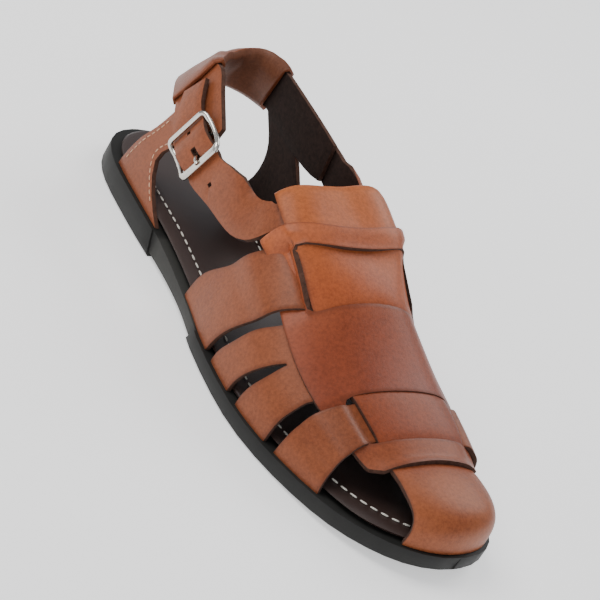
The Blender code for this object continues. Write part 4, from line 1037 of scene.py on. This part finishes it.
def from_ankle(point):
    """Direction away from the ankle's upright axis, and straight sideways along its flat sides."""
    way = np.array((point[0], point[1] - ANKLE_CENTRE, 0.0))
    if abs(point[0]) > ANKLE_FLAT[0] and point[1] < ANKLE_FLAT[1]:
        way = np.array((math.copysign(1, point[0]), 0.0, 0.0))
    return way / max(1e-9, np.linalg.norm(way))


def from_instep(point):
    """Outward direction along the instep strap: sideways by the ankle, up and out over the foot."""
    over = float(1 - ease(*INSTEP_TURN, point[1]))
    side = np.array((math.copysign(1, point[0]), 0.0, 0.12))
    way = side * (1 - over) + from_axis(point) * over
    return way / np.linalg.norm(way)


def follow_fold(obj):
    """Moves the instep strap with the centre strap's fold, as far as it lies inside it."""
    a, u = np.meshgrid(np.linspace(0.40, 0.60, 60), np.linspace(0.10, 0.90, 120), indexing="ij")
    near = KDTree(a.size)
    for index, place in enumerate(on_last(a * SOLE_LENGTH, u, INSTEP_STRAP_LAYERS * LEATHER).reshape(-1, 3)):
        near.insert(place, index)
    near.balance()
    lifts = fold_flatten(a, u).ravel()
    for vertex in obj.data.vertices:
        index, gap = near.find(vertex.co)[1:]
        vertex.co.z += lifts[index] * (1 - float(ease(*LIFT_FADE, gap)))


class SANDAL_OT_heel_leather(bpy.types.Operator):
    """Quarters, padded heel sleeve and instep strap"""
    bl_idname = "sandal.heel_leather"
    bl_label = "Heel leather"

    def execute(self, context):
        for side in ("lateral", "medial"):
            node = "quarter_" + side
            obj = dressed_copy(node, node + "_leather", sizes().edge_round, quads=False)
            paint_by_side(obj, from_ankle, "strap")
            hand_over(obj, "strap_leather", node)
        obj = dressed_copy("heel_sleeve", "heel_sleeve_leather", 0.35 * MM)
        paint_by_side(obj, from_ankle, "sleeve", "sleeve_inside", "sleeve", 0.6)
        hand_over(obj, "sleeve_leather", "heel_sleeve")
        obj = dressed_copy("instep_strap", "instep_strap_leather", sizes().edge_round, quads=False)
        follow_fold(obj)
        paint_by_side(obj, from_instep, "strap")
        hand_over(obj, "strap_leather", "instep_strap")
        return {"FINISHED"}


class SANDAL_OT_sole(bpy.types.Operator):
    """Finishes of the rubber sole and the footbed"""
    bl_idname = "sandal.sole"
    bl_label = "Sole and footbed"

    def execute(self, context):
        obj = dressed_copy("outsole", "rubber_sole", 0.35 * MM)
        obj.data.materials.append(finish_of("rubber"))
        hand_over(obj, "sole_rubber", "outsole")
        obj = dressed_copy("insole", "footbed", 0)
        soften(obj, 1)
        apply_modifiers(obj)
        bpy.ops.object.shade_smooth_by_angle(angle=math.radians(60))
        obj.data.materials.append(finish_of("footbed"))
        hand_over(obj, "footbed_leather", "insole")
        return {"FINISHED"}


def widen_front_bar(obj):
    """Makes the frame's front bar wider than its wire."""
    co = np.array([v.co for v in obj.data.vertices])
    middle = (co.min(0) + co.max(0)) / 2
    along = np.array(BUCKLE_ALONG)
    along /= np.linalg.norm(along)
    way = (co - middle) @ along
    front = way.max() - 2.7 * MM
    for vertex, at in zip(obj.data.vertices, way):
        share = float(ease(front - 1.2 * MM, front + 0.4 * MM, at))
        centre_line = way.max() - 1.3 * MM
        vertex.co += Vector(along * (at - centre_line) * 0.45 * share)


class SANDAL_OT_buckle(bpy.types.Operator):
    """Nickel finish of the buckle and its prong"""
    bl_idname = "sandal.buckle"
    bl_label = "Buckle"

    def execute(self, context):
        for node in ("buckle_frame", "buckle_prong"):
            obj = dressed_copy(node, node + "_plated", 0)
            if node == "buckle_frame":
                widen_front_bar(obj)
            obj.data.materials.append(finish_of("metal"))
            hand_over(obj, "buckle_metal", node)
        return {"FINISHED"}


def stitch_row(name, path, normals, pitch, length, radius, finish, slot):
    """Stitches along a path: one small rounded bar, repeated at an even pitch."""
    deselect()
    bpy.ops.mesh.primitive_uv_sphere_add(segments=8, ring_count=6, radius=1, location=(0, 0, 0))
    seed = bpy.context.object
    local = np.array([v.co for v in seed.data.vertices])
    faces = [tuple(p.vertices) for p in seed.data.polygons]
    bpy.data.objects.remove(seed)
    local[:, 0] = np.sign(local[:, 0]) * np.abs(local[:, 0]) ** 0.6 * length / 2
    local[:, 1] *= radius
    local[:, 2] *= radius * 0.8
    gone = run_along(path)
    count = max(1, int(gone[-1] / pitch))
    verts, polys = [], []
    for k in range(count):
        at = (k + 0.5) * pitch
        spot = np.array([np.interp(at, gone, path[:, i]) for i in range(3)])
        ahead = np.array([np.interp(at + 0.5 * MM, gone, path[:, i]) for i in range(3)])
        up = np.array([np.interp(at, gone, normals[:, i]) for i in range(3)])
        along = ahead - spot
        along /= max(1e-9, np.linalg.norm(along))
        up = up - along * np.dot(up, along)
        up /= np.linalg.norm(up)
        aside = np.cross(up, along)
        base = len(verts)
        verts += [tuple(spot + along * p[0] + aside * p[1] + up * p[2]) for p in local]
        polys += [tuple(base + i for i in face) for face in faces]
    mesh = bpy.data.meshes.new(name)
    mesh.from_pydata(verts, [], polys)
    obj = bpy.data.objects.new(name, mesh)
    bpy.context.scene.collection.objects.link(obj)
    mesh.materials.append(finish_of(finish))
    make_active(obj)
    bpy.ops.object.shade_smooth()
    hand_over(obj, slot)


class SANDAL_OT_stitches(bpy.types.Operator):
    """White stitches of the footbed and the seams of the heel leather"""
    bl_idname = "sandal.stitches"
    bl_label = "Stitches"

    def execute(self, context):
        ring = inset(EDGE, sizes().stitch_setback)
        ring = np.vstack([ring, ring[:1]])
        z = rubber_top(ring[:, 1]) + FIT + FOOTBED + 0.12 * MM
        path = world(ring[:, 0], ring[:, 1], z)
        up = np.tile((0.0, 0.0, 1.0), (len(path), 1))
        stitch_row("footbed_stitches", path, up, sizes().stitch_pitch, sizes().stitch_length, sizes().thread,
                   "thread", "footbed_leather")
        for side, name, leg in ((0, "lateral", LATERAL_LEG), (1, "medial", MEDIAL_LEG)):
            edges = spline(leg, 40)
            heights = edges[:, 0] * ANKLE_HEIGHT
            keep = (heights > LEG_SEAM_HEIGHTS[0]) & (heights < LEG_SEAM_HEIGHTS[1])
            for edge, column, sign in (("back", 1, 1), ("front", 2, -1)):
                s = edges[keep, column] * SOLE_LENGTH + sign * LEG_SEAM_SETBACK
                run = beside_heel(side, s)
                row = on_ankle(side, run, heights[keep], LEATHER + 0.05 * MM)
                out = on_ankle(side, run, heights[keep], LEATHER + 1 * MM) - row
                stitch_row("leg_stitches_%s_%s" % (name, edge), row, out, *LEG_STITCH, "tan_thread",
                           "strap_leather")
        return {"FINISHED"}


def area_light(name, place, size, power, color):
    bpy.ops.object.light_add(type="AREA", location=place)
    lamp = bpy.context.object
    lamp.name = name
    lamp.data.size = size
    lamp.data.energy = power
    lamp.data.color = color
    lamp.rotation_euler = (Vector(LIGHT_TARGET) - Vector(place)).to_track_quat("-Z", "Y").to_euler()


def photo_camera():
    """Camera from its turn round the sandal, its height and its roll."""
    turn, tilt, roll = (math.radians(v) for v in CAMERA_ANGLES)
    back = Vector((math.sin(turn) * math.cos(tilt), -math.cos(turn) * math.cos(tilt), math.sin(tilt)))
    right = Vector((math.cos(turn), math.sin(turn), 0))
    up = back.cross(right)
    rolled_right = right * math.cos(roll) + up * math.sin(roll)
    rolled_up = up * math.cos(roll) - right * math.sin(roll)
    camera = bpy.data.objects.new("camera", bpy.data.cameras.new("camera"))
    bpy.context.scene.collection.objects.link(camera)
    camera.data.lens = CAMERA_LENS
    camera.data.sensor_width = 36
    matrix = Matrix((rolled_right, rolled_up, back)).transposed().to_4x4()
    matrix.translation = Vector(CAMERA_PLACE)
    camera.matrix_world = matrix
    bpy.context.scene.camera = camera


class SANDAL_OT_stage(bpy.types.Operator):
    """Pale floor, soft lights and the camera"""
    bl_idname = "sandal.stage"
    bl_label = "Stage"

    def execute(self, context):
        deselect()
        bpy.ops.mesh.primitive_plane_add(size=6, location=(0, 0, -0.0002))
        floor = bpy.context.object
        floor.name = "floor"
        nodes = Nodes("pale_floor")
        tone = nodes.ramp(nodes.noise(3, 2), ((0.3, (0.86, 0.86, 0.86)), (0.7, (0.90, 0.90, 0.90))))
        nodes.set(Base_Color=tone, Roughness=0.9, Emission_Color=(1.0, 1.0, 1.0), Emission_Strength=0.7)
        floor.data.materials.append(nodes.mat)
        room = bpy.data.worlds.new("soft_room")
        room.use_nodes = True
        background = room.node_tree.nodes["Background"]
        background.inputs["Color"].default_value = (0.93, 0.95, 1.0, 1)
        background.inputs["Strength"].default_value = 0.42
        bpy.context.scene.world = room
        for light in LIGHTS:
            area_light(*light)
        photo_camera()
        return {"FINISHED"}


class SANDAL_PT_panel(bpy.types.Panel):
    """Builds the sandal, piece by piece"""
    bl_idname = "SANDAL_PT_panel"
    bl_label = "Fisherman sandal"
    bl_space_type = "VIEW_3D"
    bl_region_type = "UI"
    bl_category = "Sandal"

    def draw(self, context):
        column = self.layout.column()
        for group in (context.scene.sandal_sizes, context.scene.sandal_colours):
            for key in group.__annotations__:
                column.prop(group, key)
        for operator in OPERATORS:
            column.operator(operator.bl_idname)


OPERATORS = (SANDAL_OT_stage, SANDAL_OT_sole, SANDAL_OT_cross_straps, SANDAL_OT_centre_strap,
             SANDAL_OT_ladder_strap, SANDAL_OT_heel_leather, SANDAL_OT_buckle, SANDAL_OT_stitches)
CLASSES = (SandalSizes, SandalColours, *OPERATORS, SANDAL_PT_panel)


def register():
    for cls in CLASSES:
        bpy.utils.register_class(cls)
    bpy.types.Scene.sandal_sizes = bpy.props.PointerProperty(type=SandalSizes)
    bpy.types.Scene.sandal_colours = bpy.props.PointerProperty(type=SandalColours)


def unregister():
    del bpy.types.Scene.sandal_colours
    del bpy.types.Scene.sandal_sizes
    for cls in reversed(CLASSES):
        bpy.utils.unregister_class(cls)


def main():
    register()
    bpy.ops.sandal.stage()
    bpy.ops.sandal.sole()
    bpy.ops.sandal.cross_straps()
    bpy.ops.sandal.centre_strap()
    bpy.ops.sandal.ladder_strap()
    bpy.ops.sandal.heel_leather()
    bpy.ops.sandal.buckle()
    bpy.ops.sandal.stitches()
    deselect()


if __name__ == "__main__":
    main()
